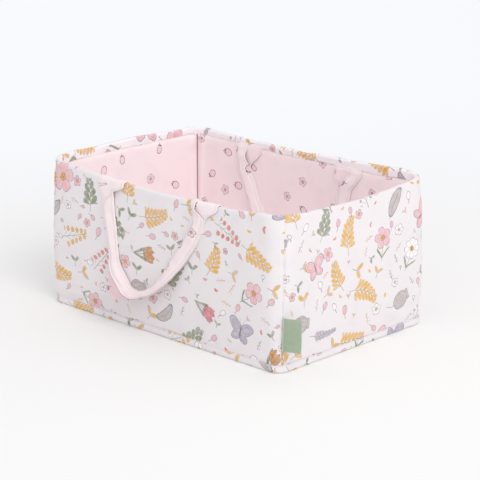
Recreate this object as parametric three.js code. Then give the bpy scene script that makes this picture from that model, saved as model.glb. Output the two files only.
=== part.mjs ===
import * as THREE from 'three';

// Soft open-top storage caddy with stiffened fabric walls and two strap handles.
// Millimetres, +Z up, +X along the long sides, the front long wall faces -Y.
// The origin is the middle of the underside.

// Driving dimensions
const LENGTH = 380;
const WIDTH = 250;
const HEIGHT = 180;
const BASE_CORNER = 12;
const RIM_CORNER = 24;

// Layers of the walls and the base, and the gap that touching pieces keep
const FABRIC = 1.2;
const STIFFENER = 3;
const LINING = 1;
const BASE_BOARD = 3;
const GAP = 0.3;

// Fold of the outer fabric over the rim, and how round its edges are
const FACING_DEPTH = 8;
const RIM_ROUND = 1.6;

// Binding round the bottom edge
const BINDING_HEIGHT = 9;
const BINDING_UNDER = 7;

// Handles: a flat band at the seams, folded lengthwise to a thicker strap between them
const FRONT_SPAN = 153;
const REAR_SPAN = 162;
const REAR_SHIFT = -5.5;
const BAND_WIDTH = 42;
const BAND_THICKNESS = 1.4;
const STRAP_WIDTH = 20;
const STRAP_THICKNESS = 4.5;
const FOLD_LENGTH = 24;
const FRONT_DROP = 140;
const FRONT_AXIS_DROP = 0.5;
const FRONT_AXIS_TO_STRAP = 4.3;
const REAR_FLOOR_GAP = 3.2;
const REAR_BAND_DROP = 6;

// Label tab in the corner seam
const LABEL_WIDTH = 24;
const LABEL_HEIGHT = 39;
const LABEL_THICKNESS = 1.2;
const LABEL_BOTTOM = 25;

// How the soft walls settle: the rim stands out, the walls bulge, and each side's rim
// bows outwards (or inwards, below zero) and dips at its middle
const RIM_FLARE = 2;
const WALL_BULGE = 3;
const FRONT_BOW = -1;
const RIGHT_BOW = -5;
const REAR_BOW = -6;
const LEFT_BOW = 4;
const FRONT_DIP = 7;
const RIGHT_DIP = 7;
const REAR_DIP = 1;
const LEFT_DIP = 0;

// Counts of facets
const LONG_STEPS = 6;
const SHORT_STEPS = 4;
const CORNER_STEPS = 6;
const WALL_STEPS = 4;
const BAND_STEPS = 3;
const STRAP_STEPS = 44;
const LABEL_STEPS = 3;

// Depths below the outer face of the outer fabric
const STIFFENER_OUT = FABRIC + GAP;
const STIFFENER_IN = STIFFENER_OUT + STIFFENER;
const LINING_OUT = STIFFENER_IN + GAP;
const LINING_IN = LINING_OUT + LINING;
const FACING_IN = LINING_OUT + FABRIC;

// Heights of the base's layers
const BOARD_BOTTOM = FABRIC + GAP;
const BOARD_TOP = BOARD_BOTTOM + BASE_BOARD;
const LINING_BOTTOM = BOARD_TOP + GAP;
const LINING_TOP = HEIGHT - FACING_DEPTH - GAP;

// Heights where the hanging straps begin: the front one keeps clear of its ends as it swings
const FRONT_STRAP_TOP = HEIGHT - FRONT_AXIS_DROP - FRONT_AXIS_TO_STRAP;
const REAR_STRAP_TOP = LINING_TOP - REAR_BAND_DROP - GAP;

// Drop of the rear strap's middle line, so that its edge hangs just above the base's lining
const REAR_DROP = HEIGHT - LINING_BOTTOM - LINING - REAR_FLOOR_GAP - STRAP_WIDTH / 2;

// A station counts sides from the front anticlockwise: its first part runs along the
// straight side and the rest round the corner at the side's end
const STRAIGHT_SHARE = 0.5;
const SEAM_ARC_SHARE = 4 / CORNER_STEPS;
const LINING_SEAM_ARC_SHARE = 3 / CORNER_STEPS;

// The settled shape fades to nothing towards the middle of the floor
const DIP_FADE_START_SHARE = 0.5;
const DIP_FADE_END_SHARE = 0.85;

// Routes of the straps: across as a share of the span, down as a share of the drop
const FRONT_ROUTE_SHARES = [
  [-0.529, 0.099],
  [-0.523, 0.296],
  [-0.494, 0.455],
  [-0.462, 0.61],
  [-0.425, 0.762],
  [-0.358, 0.862],
  [-0.286, 0.939],
  [-0.175, 0.95],
  [-0.076, 0.911],
  [0.022, 0.853],
  [0.117, 0.747],
  [0.24, 0.568],
  [0.39, 0.328],
  [0.445, 0.233],
  [0.465, 0.135],
];
const REAR_ROUTE_SHARES = [
  [-0.54, 0.163],
  [-0.552, 0.241],
  [-0.497, 0.375],
  [-0.46, 0.488],
  [-0.414, 0.584],
  [-0.349, 0.719],
  [-0.262, 0.844],
  [-0.151, 0.938],
  [-0.015, 0.994],
  [0.127, 0.981],
  [0.25, 0.894],
  [0.343, 0.75],
  [0.392, 0.594],
  [0.423, 0.45],
  [0.438, 0.331],
  [0.472, 0.188],
];

// Where along the front strap its lower edge rolls out from the wall, over what reach to each
// side, and how far, as a share of a full turn
const ROLL_PLACE_SHARE = 0.5;
const ROLL_REACH_SHARE = 0.3;
const ROLL_TURN_SHARE = 0.21;

// Section of a strap: across, front face and back face as shares of half width and thickness
const STRAP_SECTION_SHARES = [
  [-1, 0.65, 0.35],
  [-0.85, 0.95, 0.05],
  [0, 1, 0],
  [0.85, 0.95, 0.05],
  [1, 0.65, 0.35],
];

// Plan of the label, out from the wall and along it, as shares of its width
const LABEL_PLAN_SHARES = [
  [0, 0],
  [0.15, 0.03],
  [0.36, 0.15],
  [0.59, 0.34],
  [0.79, 0.56],
];

// Corner rounding that the rim's fold keeps, as a share of its round edge
const RIM_EDGE_SHARE = 0.3;

function settle(point) {
  const rise = THREE.MathUtils.clamp(point.z / HEIGHT, 0, 1);
  const lengthwise = point.x / (LENGTH / 2);
  const widthwise = point.y / (WIDTH / 2);
  const longMiddle = Math.max(0, 1 - (point.x / (LENGTH / 2 - RIM_CORNER)) ** 2);
  const shortMiddle = Math.max(0, 1 - (point.y / (WIDTH / 2 - RIM_CORNER)) ** 2);
  const spread = RIM_FLARE * rise + WALL_BULGE * Math.sin(Math.PI * rise);
  const longBow = (widthwise < 0 ? FRONT_BOW : REAR_BOW) * longMiddle * rise ** 2;
  const shortBow = (lengthwise < 0 ? LEFT_BOW : RIGHT_BOW) * shortMiddle * rise ** 2;
  const longDip = (widthwise < 0 ? FRONT_DIP : REAR_DIP) * longMiddle * nearWall(widthwise);
  const shortDip = (lengthwise < 0 ? LEFT_DIP : RIGHT_DIP) * shortMiddle * nearWall(lengthwise);
  return new THREE.Vector3(
    point.x + lengthwise * (spread + shortBow),
    point.y + widthwise * (spread + longBow),
    point.z - (longDip + shortDip) * rise ** 3,
  );
}

function nearWall(share) {
  return THREE.MathUtils.smoothstep(Math.abs(share), DIP_FADE_START_SHARE, DIP_FADE_END_SHARE);
}

function cornerRadius(height) {
  return THREE.MathUtils.lerp(BASE_CORNER, RIM_CORNER, height / HEIGHT);
}

// A point at a station round the walls, at a depth below the outer face and a height
function wallPlan(station, depth, height) {
  const side = Math.floor(station);
  const share = (station - side) / STRAIGHT_SHARE;
  const isLong = side % 2 === 0;
  const halfAlong = (isLong ? LENGTH : WIDTH) / 2;
  const halfOut = (isLong ? WIDTH : LENGTH) / 2;
  const corner = cornerRadius(height);
  const reach = halfAlong - corner;
  const turn = (Math.max(0, share - 1) * Math.PI) / 2;
  const along = THREE.MathUtils.lerp(-reach, reach, Math.min(1, share)) + (corner - depth) * Math.sin(turn);
  const out = halfOut - corner + (corner - depth) * Math.cos(turn);
  const facing = ((side - 1) * Math.PI) / 2;
  return new THREE.Vector3(
    out * Math.cos(facing) - along * Math.sin(facing),
    out * Math.sin(facing) + along * Math.cos(facing),
    height,
  );
}

function wallPoint(station, depth, height) {
  return settle(wallPlan(station, depth, height));
}

// A point on the front or the rear wall, at a place along it
function sidePoint(sign, across, depth, height) {
  return settle(new THREE.Vector3(across, sign * (WIDTH / 2 - depth), height));
}

function arcStation(side, arcShare) {
  return side + STRAIGHT_SHARE + (1 - STRAIGHT_SHARE) * arcShare;
}

// Stations of one side's panel, from the seam in the corner before it to the seam in its own
function panelStations(side, seamArcShare) {
  const meanCorner = (BASE_CORNER + RIM_CORNER) / 2;
  const halfGap = (GAP / 2 / ((meanCorner * Math.PI) / 2)) * (1 - STRAIGHT_SHARE);
  const seamStep = Math.round(seamArcShare * CORNER_STEPS);
  const stations = [arcStation(side - 1, seamArcShare) + halfGap];
  for (let step = seamStep + 1; step < CORNER_STEPS; step += 1) {
    stations.push(arcStation(side - 1, step / CORNER_STEPS));
  }
  const sideSteps = side % 2 === 0 ? LONG_STEPS : SHORT_STEPS;
  for (let step = 0; step < sideSteps; step += 1) {
    stations.push(side + (STRAIGHT_SHARE * step) / sideSteps);
  }
  for (let step = 0; step < seamStep; step += 1) {
    stations.push(arcStation(side, step / CORNER_STEPS));
  }
  stations.push(arcStation(side, seamArcShare) - halfGap);
  return stations;
}

function ringStations() {
  const stations = [];
  for (let side = 0; side < 4; side += 1) {
    const sideSteps = side % 2 === 0 ? LONG_STEPS : SHORT_STEPS;
    for (let step = 0; step < sideSteps; step += 1) {
      stations.push(side + (STRAIGHT_SHARE * step) / sideSteps);
    }
    for (let step = 0; step < CORNER_STEPS; step += 1) {
      stations.push(arcStation(side, step / CORNER_STEPS));
    }
  }
  return stations;
}

function wallHeights(bottom, top) {
  const heights = [];
  for (let step = 0; step <= WALL_STEPS; step += 1) {
    heights.push(THREE.MathUtils.lerp(bottom, top, step / WALL_STEPS));
  }
  return heights;
}

// Skins sections into one closed body. A section is two matching rows of points, one on each
// face of the layer, and the ends are capped unless the sections close on themselves. Both
// faces are split along the same diagonals, so layers that nest stay parallel.
function loft(sections, closes) {
  const rowLength = sections[0][0].length;
  const ringLength = 2 * rowLength;
  const points = sections.flatMap(([face, back]) => [...face, ...back.toReversed()]);
  const triangles = [];
  const spans = closes ? sections.length : sections.length - 1;
  for (let span = 0; span < spans; span += 1) {
    const start = span * ringLength;
    const next = ((span + 1) % sections.length) * ringLength;
    for (let i = 0; i < ringLength; i += 1) {
      const j = (i + 1) % ringLength;
      if (i < rowLength) {
        triangles.push([start + i, start + j, next + j], [start + i, next + j, next + i]);
      } else {
        triangles.push([start + i, start + j, next + i], [start + j, next + j, next + i]);
      }
    }
  }
  if (!closes) {
    const last = (sections.length - 1) * ringLength;
    for (let i = 0; i < rowLength - 1; i += 1) {
      const face = [i, i + 1];
      const back = [ringLength - 1 - i, ringLength - 2 - i];
      triangles.push([face[0], back[1], face[1]], [face[0], back[0], back[1]]);
      triangles.push([last + face[0], last + face[1], last + back[1]]);
      triangles.push([last + face[0], last + back[1], last + back[0]]);
    }
  }
  return closedBody(points, triangles);
}

function closedBody(points, triangles) {
  let volume = 0;
  for (const [a, b, c] of triangles) {
    volume += points[a].dot(new THREE.Vector3().crossVectors(points[b], points[c]));
  }
  const outward = volume > 0 ? triangles : triangles.map(([a, b, c]) => [a, c, b]);
  const geometry = new THREE.BufferGeometry().setFromPoints(points);
  geometry.setIndex(outward.flat());
  geometry.computeVertexNormals();
  return geometry;
}

// A layer of the wall between two depths
function wallLayer(stations, outDepth, inDepth, bottom, top) {
  const heights = wallHeights(bottom, top);
  const sections = stations.map((station) => [
    heights.map((height) => wallPoint(station, outDepth, height)),
    heights.map((height) => wallPoint(station, inDepth, height)),
  ]);
  return loft(sections, false);
}

// Outer fabric: up the wall, over the rim and down inside as a narrow facing
function outerPanel(side) {
  const edge = RIM_ROUND * RIM_EDGE_SHARE;
  const shoulders = wallHeights(BOARD_BOTTOM, HEIGHT - RIM_ROUND);
  const face = [
    ...shoulders.map((height) => [0, height]),
    [edge, HEIGHT - edge],
    [RIM_ROUND, HEIGHT],
    [FACING_IN - RIM_ROUND, HEIGHT],
    [FACING_IN - edge, HEIGHT - edge],
    [FACING_IN, HEIGHT - RIM_ROUND],
    [FACING_IN, HEIGHT - FACING_DEPTH],
  ];
  const back = [
    ...shoulders.map((height) => [FABRIC, height]),
    [FABRIC, HEIGHT - FABRIC],
    [FABRIC + RIM_ROUND, HEIGHT - FABRIC],
    [LINING_OUT - RIM_ROUND, HEIGHT - FABRIC],
    [LINING_OUT, HEIGHT - FABRIC],
    [LINING_OUT, HEIGHT - RIM_ROUND],
    [LINING_OUT, HEIGHT - FACING_DEPTH],
  ];
  const sections = panelStations(side, SEAM_ARC_SHARE).map((station) => [
    face.map(([depth, height]) => wallPoint(station, depth, height)),
    back.map(([depth, height]) => wallPoint(station, depth, height)),
  ]);
  return loft(sections, false);
}

// Strip folded round the bottom edge: a leg up the wall and one under the base
function bindingRing() {
  const face = [
    [-GAP - FABRIC, BINDING_HEIGHT],
    [-GAP - FABRIC, 0],
    [BINDING_UNDER, 0],
  ];
  const back = [
    [-GAP, BINDING_HEIGHT],
    [-GAP, FABRIC],
    [BINDING_UNDER, FABRIC],
  ];
  const sections = ringStations().map((station) => [
    face.map(([depth, height]) => wallPoint(station, depth, height)),
    back.map(([depth, height]) => wallPoint(station, depth, height)),
  ]);
  return loft(sections, true);
}

// Flat layer of the base with rounded corners
function basePlate(depth, bottom, top) {
  const outline = new THREE.Shape(ringStations().map((station) => wallPlan(station, depth, 0)));
  const plate = new THREE.ExtrudeGeometry(outline, { depth: top - bottom, bevelEnabled: false });
  plate.translate(0, 0, bottom);
  const position = plate.getAttribute('position');
  for (let i = 0; i < position.count; i += 1) {
    const settled = settle(new THREE.Vector3().fromBufferAttribute(position, i));
    position.setXYZ(i, settled.x, settled.y, settled.z);
  }
  return plate;
}

// A flat end of a handle, from profiles of its two faces in depth and height
function bandEnd(sign, centre, face, back) {
  const sections = [];
  for (let step = 0; step <= BAND_STEPS; step += 1) {
    const across = centre + BAND_WIDTH * (step / BAND_STEPS - 1 / 2);
    sections.push([
      face.map(([depth, height]) => sidePoint(sign, across, depth, height)),
      back.map(([depth, height]) => sidePoint(sign, across, depth, height)),
    ]);
  }
  return loft(sections, false);
}

// Front end: out of the inner seam, over the rim and just down the outside
function frontBandEnd(centre) {
  const inside = FACING_IN + GAP;
  const top = HEIGHT + GAP;
  const outerFoot = FRONT_STRAP_TOP + GAP;
  const face = [
    [-GAP - BAND_THICKNESS, outerFoot],
    [-GAP - BAND_THICKNESS, top],
    [-GAP, top + BAND_THICKNESS],
    [inside, top + BAND_THICKNESS],
    [inside + BAND_THICKNESS, top],
    [inside + BAND_THICKNESS, LINING_TOP],
  ];
  const back = [
    [-GAP, outerFoot],
    [-GAP, top - BAND_THICKNESS],
    [-GAP, top],
    [inside, top],
    [inside, top - BAND_THICKNESS],
    [inside, LINING_TOP],
  ];
  return bandEnd(-1, centre, face, back);
}

// Rear end: out of the inner seam and straight down the lining
function rearBandEnd(centre) {
  const inside = FACING_IN + GAP;
  const foot = LINING_TOP - REAR_BAND_DROP;
  const face = [
    [inside + BAND_THICKNESS, LINING_TOP],
    [inside + BAND_THICKNESS, foot],
  ];
  const back = [
    [inside, LINING_TOP],
    [inside, foot],
  ];
  return bandEnd(1, centre, face, back);
}

// Hanging strap: the flat band folds lengthwise below each end and hangs as a loop whose
// inner edge stays at the wall where the strap rolls. depthAt gives the depth of a point from
// how far it stands out, and turnAt the roll at a share of the strap's length.
function strap({ sign, span, shift, top, drop, routeShares, turnAt, depthAt }) {
  const middle = routeShares.map(([across, down]) => [across * span, HEIGHT - down * drop]);
  const route = [[-span / 2, top], ...middle, [span / 2, top]];
  const curve = new THREE.CatmullRomCurve3(
    route.map(([across, height]) => new THREE.Vector3(shift + across, 0, height)),
    false,
    'centripetal',
  );
  const sections = [];
  for (let step = 0; step <= STRAP_STEPS; step += 1) {
    const share = step / STRAP_STEPS;
    const centre = curve.getPointAt(share);
    const heading = curve.getTangentAt(share);
    const fromEnd = Math.min(share, 1 - share) * curve.getLength();
    const folded = THREE.MathUtils.smoothstep(fromEnd, 0, FOLD_LENGTH);
    const level = new THREE.Vector3(share < 1 / 2 ? 1 : -1, 0, 0);
    const square = new THREE.Vector3(-heading.z, 0, heading.x);
    const across = level.lerp(square, folded).normalize();
    const halfWidth = THREE.MathUtils.lerp(BAND_WIDTH, STRAP_WIDTH, folded) / 2;
    const thickness = THREE.MathUtils.lerp(BAND_THICKNESS, STRAP_THICKNESS, folded);
    const turn = turnAt(share);
    const pointAt = (widthShare, thicknessShare) => {
      const wide = widthShare * halfWidth;
      const thick = (thicknessShare - 1 / 2) * thickness;
      const aside = wide * Math.cos(turn) + thick * Math.sin(turn);
      const stand = thickness / 2 + thick * Math.cos(turn) + (halfWidth - wide) * Math.sin(turn);
      const depth = depthAt(stand);
      return sidePoint(sign, centre.x + across.x * aside, depth, centre.z + across.z * aside);
    };
    sections.push([
      STRAP_SECTION_SHARES.map(([width, front]) => pointAt(width, front)),
      STRAP_SECTION_SHARES.map(([width, , rear]) => pointAt(width, rear)),
    ]);
  }
  return loft(sections, false);
}

function frontTurn(share) {
  const away = Math.abs(share - ROLL_PLACE_SHARE) / ROLL_REACH_SHARE;
  return ROLL_TURN_SHARE * 2 * Math.PI * (1 - THREE.MathUtils.smoothstep(away, 0, 1));
}

function frontStrap() {
  return strap({
    sign: -1,
    span: FRONT_SPAN,
    shift: 0,
    top: FRONT_STRAP_TOP,
    drop: FRONT_DROP,
    routeShares: FRONT_ROUTE_SHARES,
    turnAt: frontTurn,
    depthAt: (stand) => -GAP - stand,
  });
}

function rearStrap() {
  return strap({
    sign: 1,
    span: REAR_SPAN,
    shift: REAR_SHIFT,
    top: REAR_STRAP_TOP,
    drop: REAR_DROP,
    routeShares: REAR_ROUTE_SHARES,
    turnAt: () => 0,
    depthAt: (stand) => FACING_IN + GAP + stand,
  });
}

// Folded ribbon that stands out of the seam behind the front right corner and curves rearwards
function labelTab() {
  const seam = arcStation(0, SEAM_ARC_SHARE);
  const out = wallPlan(seam, -LABEL_WIDTH, 0).sub(wallPlan(seam, 0, 0)).normalize();
  const along = new THREE.Vector3(-out.y, out.x, 0);
  const path = LABEL_PLAN_SHARES.map(([outShare, alongShare]) =>
    new THREE.Vector3()
      .addScaledVector(out, outShare * LABEL_WIDTH + GAP)
      .addScaledVector(along, alongShare * LABEL_WIDTH),
  );
  const sides = path.map((point, i) => {
    const before = path[Math.max(0, i - 1)];
    const after = path[Math.min(path.length - 1, i + 1)];
    const heading = after.clone().sub(before).normalize();
    return new THREE.Vector3(-heading.y, heading.x, 0).multiplyScalar(LABEL_THICKNESS / 2);
  });
  const sections = [];
  for (let step = 0; step <= LABEL_STEPS; step += 1) {
    const height = LABEL_BOTTOM + (LABEL_HEIGHT * step) / LABEL_STEPS;
    const root = wallPoint(seam, 0, height);
    sections.push([
      path.map((point, i) => root.clone().add(point).add(sides[i])),
      path.map((point, i) => root.clone().add(point).sub(sides[i])),
    ]);
  }
  return loft(sections, false);
}

function fabricMaterial(color) {
  return new THREE.MeshStandardMaterial({ color, roughness: 0.9, metalness: 0 });
}

const caddy = new THREE.Group();

function addPiece(name, geometry, material) {
  const piece = new THREE.Mesh(geometry, material);
  piece.name = name;
  caddy.add(piece);
}

// Walls: outer fabric, stiffener and lining on each of the four sides
const SIDES = ['front', 'right', 'rear', 'left'];
SIDES.forEach((sideName, side) => {
  const outerStations = panelStations(side, SEAM_ARC_SHARE);
  const stiffenerTop = HEIGHT - FABRIC - GAP;
  addPiece(`outer_${sideName}`, outerPanel(side), fabricMaterial(0xeae4e8));
  addPiece(
    `stiffener_${sideName}`,
    wallLayer(outerStations, STIFFENER_OUT, STIFFENER_IN, BOARD_BOTTOM, stiffenerTop),
    fabricMaterial(0xf4f2ee),
  );
  addPiece(
    `lining_${sideName}`,
    wallLayer(panelStations(side, LINING_SEAM_ARC_SHARE), LINING_OUT, LINING_IN, LINING_BOTTOM, LINING_TOP),
    fabricMaterial(0xf0d8de),
  );
});

// Base: outer fabric, board, lining and the binding round the edge
addPiece('base_outer', basePlate(BINDING_UNDER + GAP, 0, FABRIC), fabricMaterial(0xeae4e8));
addPiece('base_board', basePlate(STIFFENER_IN + GAP, BOARD_BOTTOM, BOARD_TOP), fabricMaterial(0xcbb89c));
addPiece(
  'base_lining',
  basePlate(LINING_IN + GAP, LINING_BOTTOM, LINING_BOTTOM + LINING),
  fabricMaterial(0xf0d8de),
);
addPiece('base_binding', bindingRing(), fabricMaterial(0xe6dde0));

// Handles: the hanging straps and the flat ends that hold them
addPiece('front_handle', frontStrap(), fabricMaterial(0xf3dde2));
addPiece('front_handle_end_left', frontBandEnd(-FRONT_SPAN / 2), fabricMaterial(0xf3dde2));
addPiece('front_handle_end_right', frontBandEnd(FRONT_SPAN / 2), fabricMaterial(0xf3dde2));
addPiece('rear_handle', rearStrap(), fabricMaterial(0xf3dde2));
addPiece('rear_handle_end_left', rearBandEnd(REAR_SHIFT - REAR_SPAN / 2), fabricMaterial(0xf3dde2));
addPiece('rear_handle_end_right', rearBandEnd(REAR_SHIFT + REAR_SPAN / 2), fabricMaterial(0xf3dde2));

// Label
addPiece('label_tab', labelTab(), fabricMaterial(0x96af8c));

export default caddy;
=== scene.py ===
import math
from functools import partialmethod

import bpy
import numpy as np
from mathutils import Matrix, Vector


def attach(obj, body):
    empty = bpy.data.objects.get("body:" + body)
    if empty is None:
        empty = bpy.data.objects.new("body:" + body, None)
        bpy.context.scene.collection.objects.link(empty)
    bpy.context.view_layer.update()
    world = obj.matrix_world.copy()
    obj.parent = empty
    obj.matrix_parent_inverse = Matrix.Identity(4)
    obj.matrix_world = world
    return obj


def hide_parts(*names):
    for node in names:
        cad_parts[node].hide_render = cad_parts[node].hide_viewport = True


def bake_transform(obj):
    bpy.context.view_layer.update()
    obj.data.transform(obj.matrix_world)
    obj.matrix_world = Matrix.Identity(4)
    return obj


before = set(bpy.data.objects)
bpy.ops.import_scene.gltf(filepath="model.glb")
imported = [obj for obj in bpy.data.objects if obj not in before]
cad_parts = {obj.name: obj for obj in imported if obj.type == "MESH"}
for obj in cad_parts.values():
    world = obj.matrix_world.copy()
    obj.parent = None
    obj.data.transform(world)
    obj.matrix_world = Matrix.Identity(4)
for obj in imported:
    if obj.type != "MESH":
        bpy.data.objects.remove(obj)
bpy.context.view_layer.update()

# Lengths here are in millimetres, as in the part's source, and become metres in each mesh.
MM = 0.001
PER_METRE = 1000

# The part's driving dimensions
LENGTH = 380
WIDTH = 250
HEIGHT = 180
BASE_CORNER = 12
RIM_CORNER = 24
FABRIC = 1.2
STIFFENER = 3
LINING = 1
BASE_BOARD = 3
GAP = 0.3
FACING_DEPTH = 8
BINDING_UNDER = 7
FRONT_SPAN = 153
REAR_SPAN = 162
REAR_SHIFT = -5.5
BAND_WIDTH = 42
STRAP_WIDTH = 20
STRAP_THICKNESS = 4.5
FRONT_DROP = 140
FRONT_AXIS_DROP = 0.5
FRONT_AXIS_TO_STRAP = 4.3
REAR_FLOOR_GAP = 3.2
REAR_BAND_DROP = 6
LABEL_WIDTH = 24
LABEL_HEIGHT = 39
LABEL_BOTTOM = 25
RIM_FLARE = 2
WALL_BULGE = 3
FRONT_BOW, RIGHT_BOW, REAR_BOW, LEFT_BOW = -1, -5, -6, 4
FRONT_DIP, RIGHT_DIP, REAR_DIP, LEFT_DIP = 7, 7, 1, 0

# Depths below the outer face, and heights, that follow from them
STIFFENER_IN = FABRIC + GAP + STIFFENER
LINING_OUT = STIFFENER_IN + GAP
LINING_IN = LINING_OUT + LINING
FACING_IN = LINING_OUT + FABRIC
INSIDE = FACING_IN + GAP
OUTSIDE = -GAP
BOARD_BOTTOM = FABRIC + GAP
LINING_BOTTOM = BOARD_BOTTOM + BASE_BOARD + GAP
LINING_TOP = HEIGHT - FACING_DEPTH - GAP
FACING_BOTTOM = HEIGHT - FACING_DEPTH
FRONT_STRAP_TOP = HEIGHT - FRONT_AXIS_DROP - FRONT_AXIS_TO_STRAP
REAR_STRAP_TOP = LINING_TOP - REAR_BAND_DROP - GAP
REAR_DROP = HEIGHT - LINING_BOTTOM - LINING - REAR_FLOOR_GAP - STRAP_WIDTH / 2
HALF_BAND = BAND_WIDTH / 2
HALF_STRAP = STRAP_WIDTH / 2

# Seams, as shares of a corner's arc
OUTER_SEAM_SHARE = 4 / 6
LINING_SEAM_SHARE = 1 / 2

# Routes of the straps: across as a share of the span, down as a share of the drop
FRONT_ROUTE_SHARES = [
    (-0.529, 0.099), (-0.523, 0.296), (-0.494, 0.455), (-0.462, 0.61), (-0.425, 0.762),
    (-0.358, 0.862), (-0.286, 0.939), (-0.175, 0.95), (-0.076, 0.911), (0.022, 0.853),
    (0.117, 0.747), (0.24, 0.568), (0.39, 0.328), (0.445, 0.233), (0.465, 0.135),
]
REAR_ROUTE_SHARES = [
    (-0.54, 0.163), (-0.552, 0.241), (-0.497, 0.375), (-0.46, 0.488), (-0.414, 0.584), (-0.349, 0.719),
    (-0.262, 0.844), (-0.151, 0.938), (-0.015, 0.994), (0.127, 0.981), (0.25, 0.894), (0.343, 0.75),
    (0.392, 0.594), (0.423, 0.45), (0.438, 0.331), (0.472, 0.188),
]
ROLL_PLACE_SHARE = 0.5
ROLL_REACH_SHARE = 0.3
ROLL_TURN_SHARE = 0.21
LABEL_PLAN_SHARES = [(0, 0), (0.15, 0.03), (0.36, 0.15), (0.59, 0.34), (0.79, 0.56)]


# Shape of the walls
def ease(value, start, end):
    share = np.clip((value - start) / (end - start), 0, 1)
    return share * share * (3 - 2 * share)


def hump(value, centre, reach):
    return np.exp(-(((value - centre) / reach) ** 2))


def settle(point):
    """How the soft walls settle: the rim stands out, walls bulge, and rims bow and dip."""
    x, y, z = point[..., 0], point[..., 1], point[..., 2]
    rise = np.clip(z / HEIGHT, 0, None)
    lengthwise, widthwise = x / (LENGTH / 2), y / (WIDTH / 2)
    long_middle = np.clip(1 - (x / (LENGTH / 2 - RIM_CORNER)) ** 2, 0, None)
    short_middle = np.clip(1 - (y / (WIDTH / 2 - RIM_CORNER)) ** 2, 0, None)
    spread = RIM_FLARE * rise + WALL_BULGE * np.sin(math.pi * np.clip(rise, 0, 1))
    long_bow = np.where(widthwise < 0, FRONT_BOW, REAR_BOW) * long_middle * rise**2
    short_bow = np.where(lengthwise < 0, LEFT_BOW, RIGHT_BOW) * short_middle * rise**2
    long_dip = np.where(widthwise < 0, FRONT_DIP, REAR_DIP) * long_middle * ease(abs(widthwise), 0.5, 0.85)
    short_dip = np.where(lengthwise < 0, LEFT_DIP, RIGHT_DIP) * short_middle * ease(abs(lengthwise), 0.5, 0.85)
    return np.stack([
        x + lengthwise * (spread + short_bow),
        y + widthwise * (spread + long_bow),
        z - (long_dip + short_dip) * rise**3,
    ], axis=-1)


def wall_point(station, depth, height):
    """A point round the walls. A station counts sides anticlockwise from the front: its first half
    runs along the straight side and the rest round the corner at the side's end."""
    station, depth, height = np.broadcast_arrays(station, depth, height)
    side = np.floor(station)
    share = (station - side) * 2
    is_long = side % 2 == 0
    corner = BASE_CORNER + (RIM_CORNER - BASE_CORNER) * height / HEIGHT
    reach = np.where(is_long, LENGTH, WIDTH) / 2 - corner
    turn = np.clip(share - 1, 0, None) * math.pi / 2
    along = reach * (2 * np.clip(share, None, 1) - 1) + (corner - depth) * np.sin(turn)
    out = np.where(is_long, WIDTH, LENGTH) / 2 - corner + (corner - depth) * np.cos(turn)
    facing = (side - 1) * math.pi / 2
    x = out * np.cos(facing) - along * np.sin(facing)
    y = out * np.sin(facing) + along * np.cos(facing)
    return settle(np.stack([x, y, height], axis=-1))


def side_point(sign, across, depth, height):
    across, depth, height = np.broadcast_arrays(across, depth, height)
    return settle(np.stack([across, sign * (WIDTH / 2 - depth), height], axis=-1))


def seam_station(side, share):
    return side + 0.5 + share / 2


# Paths and grids
def unit(vectors):
    return vectors / np.linalg.norm(vectors, axis=-1, keepdims=True)


def headings(path):
    """Directions along a flat path, and the directions to the left of it."""
    heading = unit(np.gradient(path, axis=0))
    return heading, np.stack([-heading[:, 1], heading[:, 0]], axis=-1)


def run_lengths(points):
    steps = np.linalg.norm(np.diff(points, axis=0), axis=-1)
    return np.concatenate([[0], np.cumsum(steps)])


def smooth_path(points, steps):
    """Evenly spaced points on a smooth curve through the given ones, and the curve's length."""
    points = np.array(points, float)
    p = np.vstack([2 * points[0] - points[1], points, 2 * points[-1] - points[-2]])
    share = np.linspace(0, 1, 30, endpoint=False)[:, None]
    parts = []
    for i in range(1, len(p) - 2):
        a, b, c = np.diff(p[i - 1:i + 3], axis=0)
        before, span, after = (math.sqrt(np.linalg.norm(step)) for step in (a, b, c))
        leave = (a / before - (a + b) / (before + span) + b / span) * span
        arrive = (b / span - (b + c) / (span + after) + c / after) * span
        square, cube = 3 * b - 2 * leave - arrive, leave + arrive - 2 * b
        parts.append(p[i] + leave * share + square * share**2 + cube * share**3)
    fine = np.vstack([*parts, points[-1:]])
    run = run_lengths(fine)
    at = np.linspace(0, run[-1], steps + 1)
    return np.stack([np.interp(at, run, column) for column in fine.T], axis=-1), run[-1]


def spaced(total, step, edge_steps):
    """Places from 0 to total, a step apart, closer at both ends."""
    start = edge_steps[-1]
    count = max(2, round((total - 2 * start) / step))
    middle = np.linspace(start, total - start, count + 1)
    return np.concatenate([[0], edge_steps[:-1], middle, total - np.array(edge_steps[:-1])[::-1], [total]])


SEAM_EDGE_STEPS = (0.5, 1.1, 1.8, 2.8, 4.2, 6)
SIDE_SAMPLES = 800


def panel_grid(side, seam_share, step, up):
    """Stations of a side's panel, and how far each grid point is along it, up it and from its seams."""
    fine = np.linspace(seam_station(side - 1, seam_share), seam_station(side, seam_share), SIDE_SAMPLES)
    run = run_lengths(wall_point(fine, 0, HEIGHT / 2))
    u, v = np.meshgrid(spaced(run[-1], step, SEAM_EDGE_STEPS), up)
    return np.interp(u[0], run, fine), u, v, np.minimum(u, run[-1] - u)


def paired(first, second):
    return np.stack([first, second], axis=-1)


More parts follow.
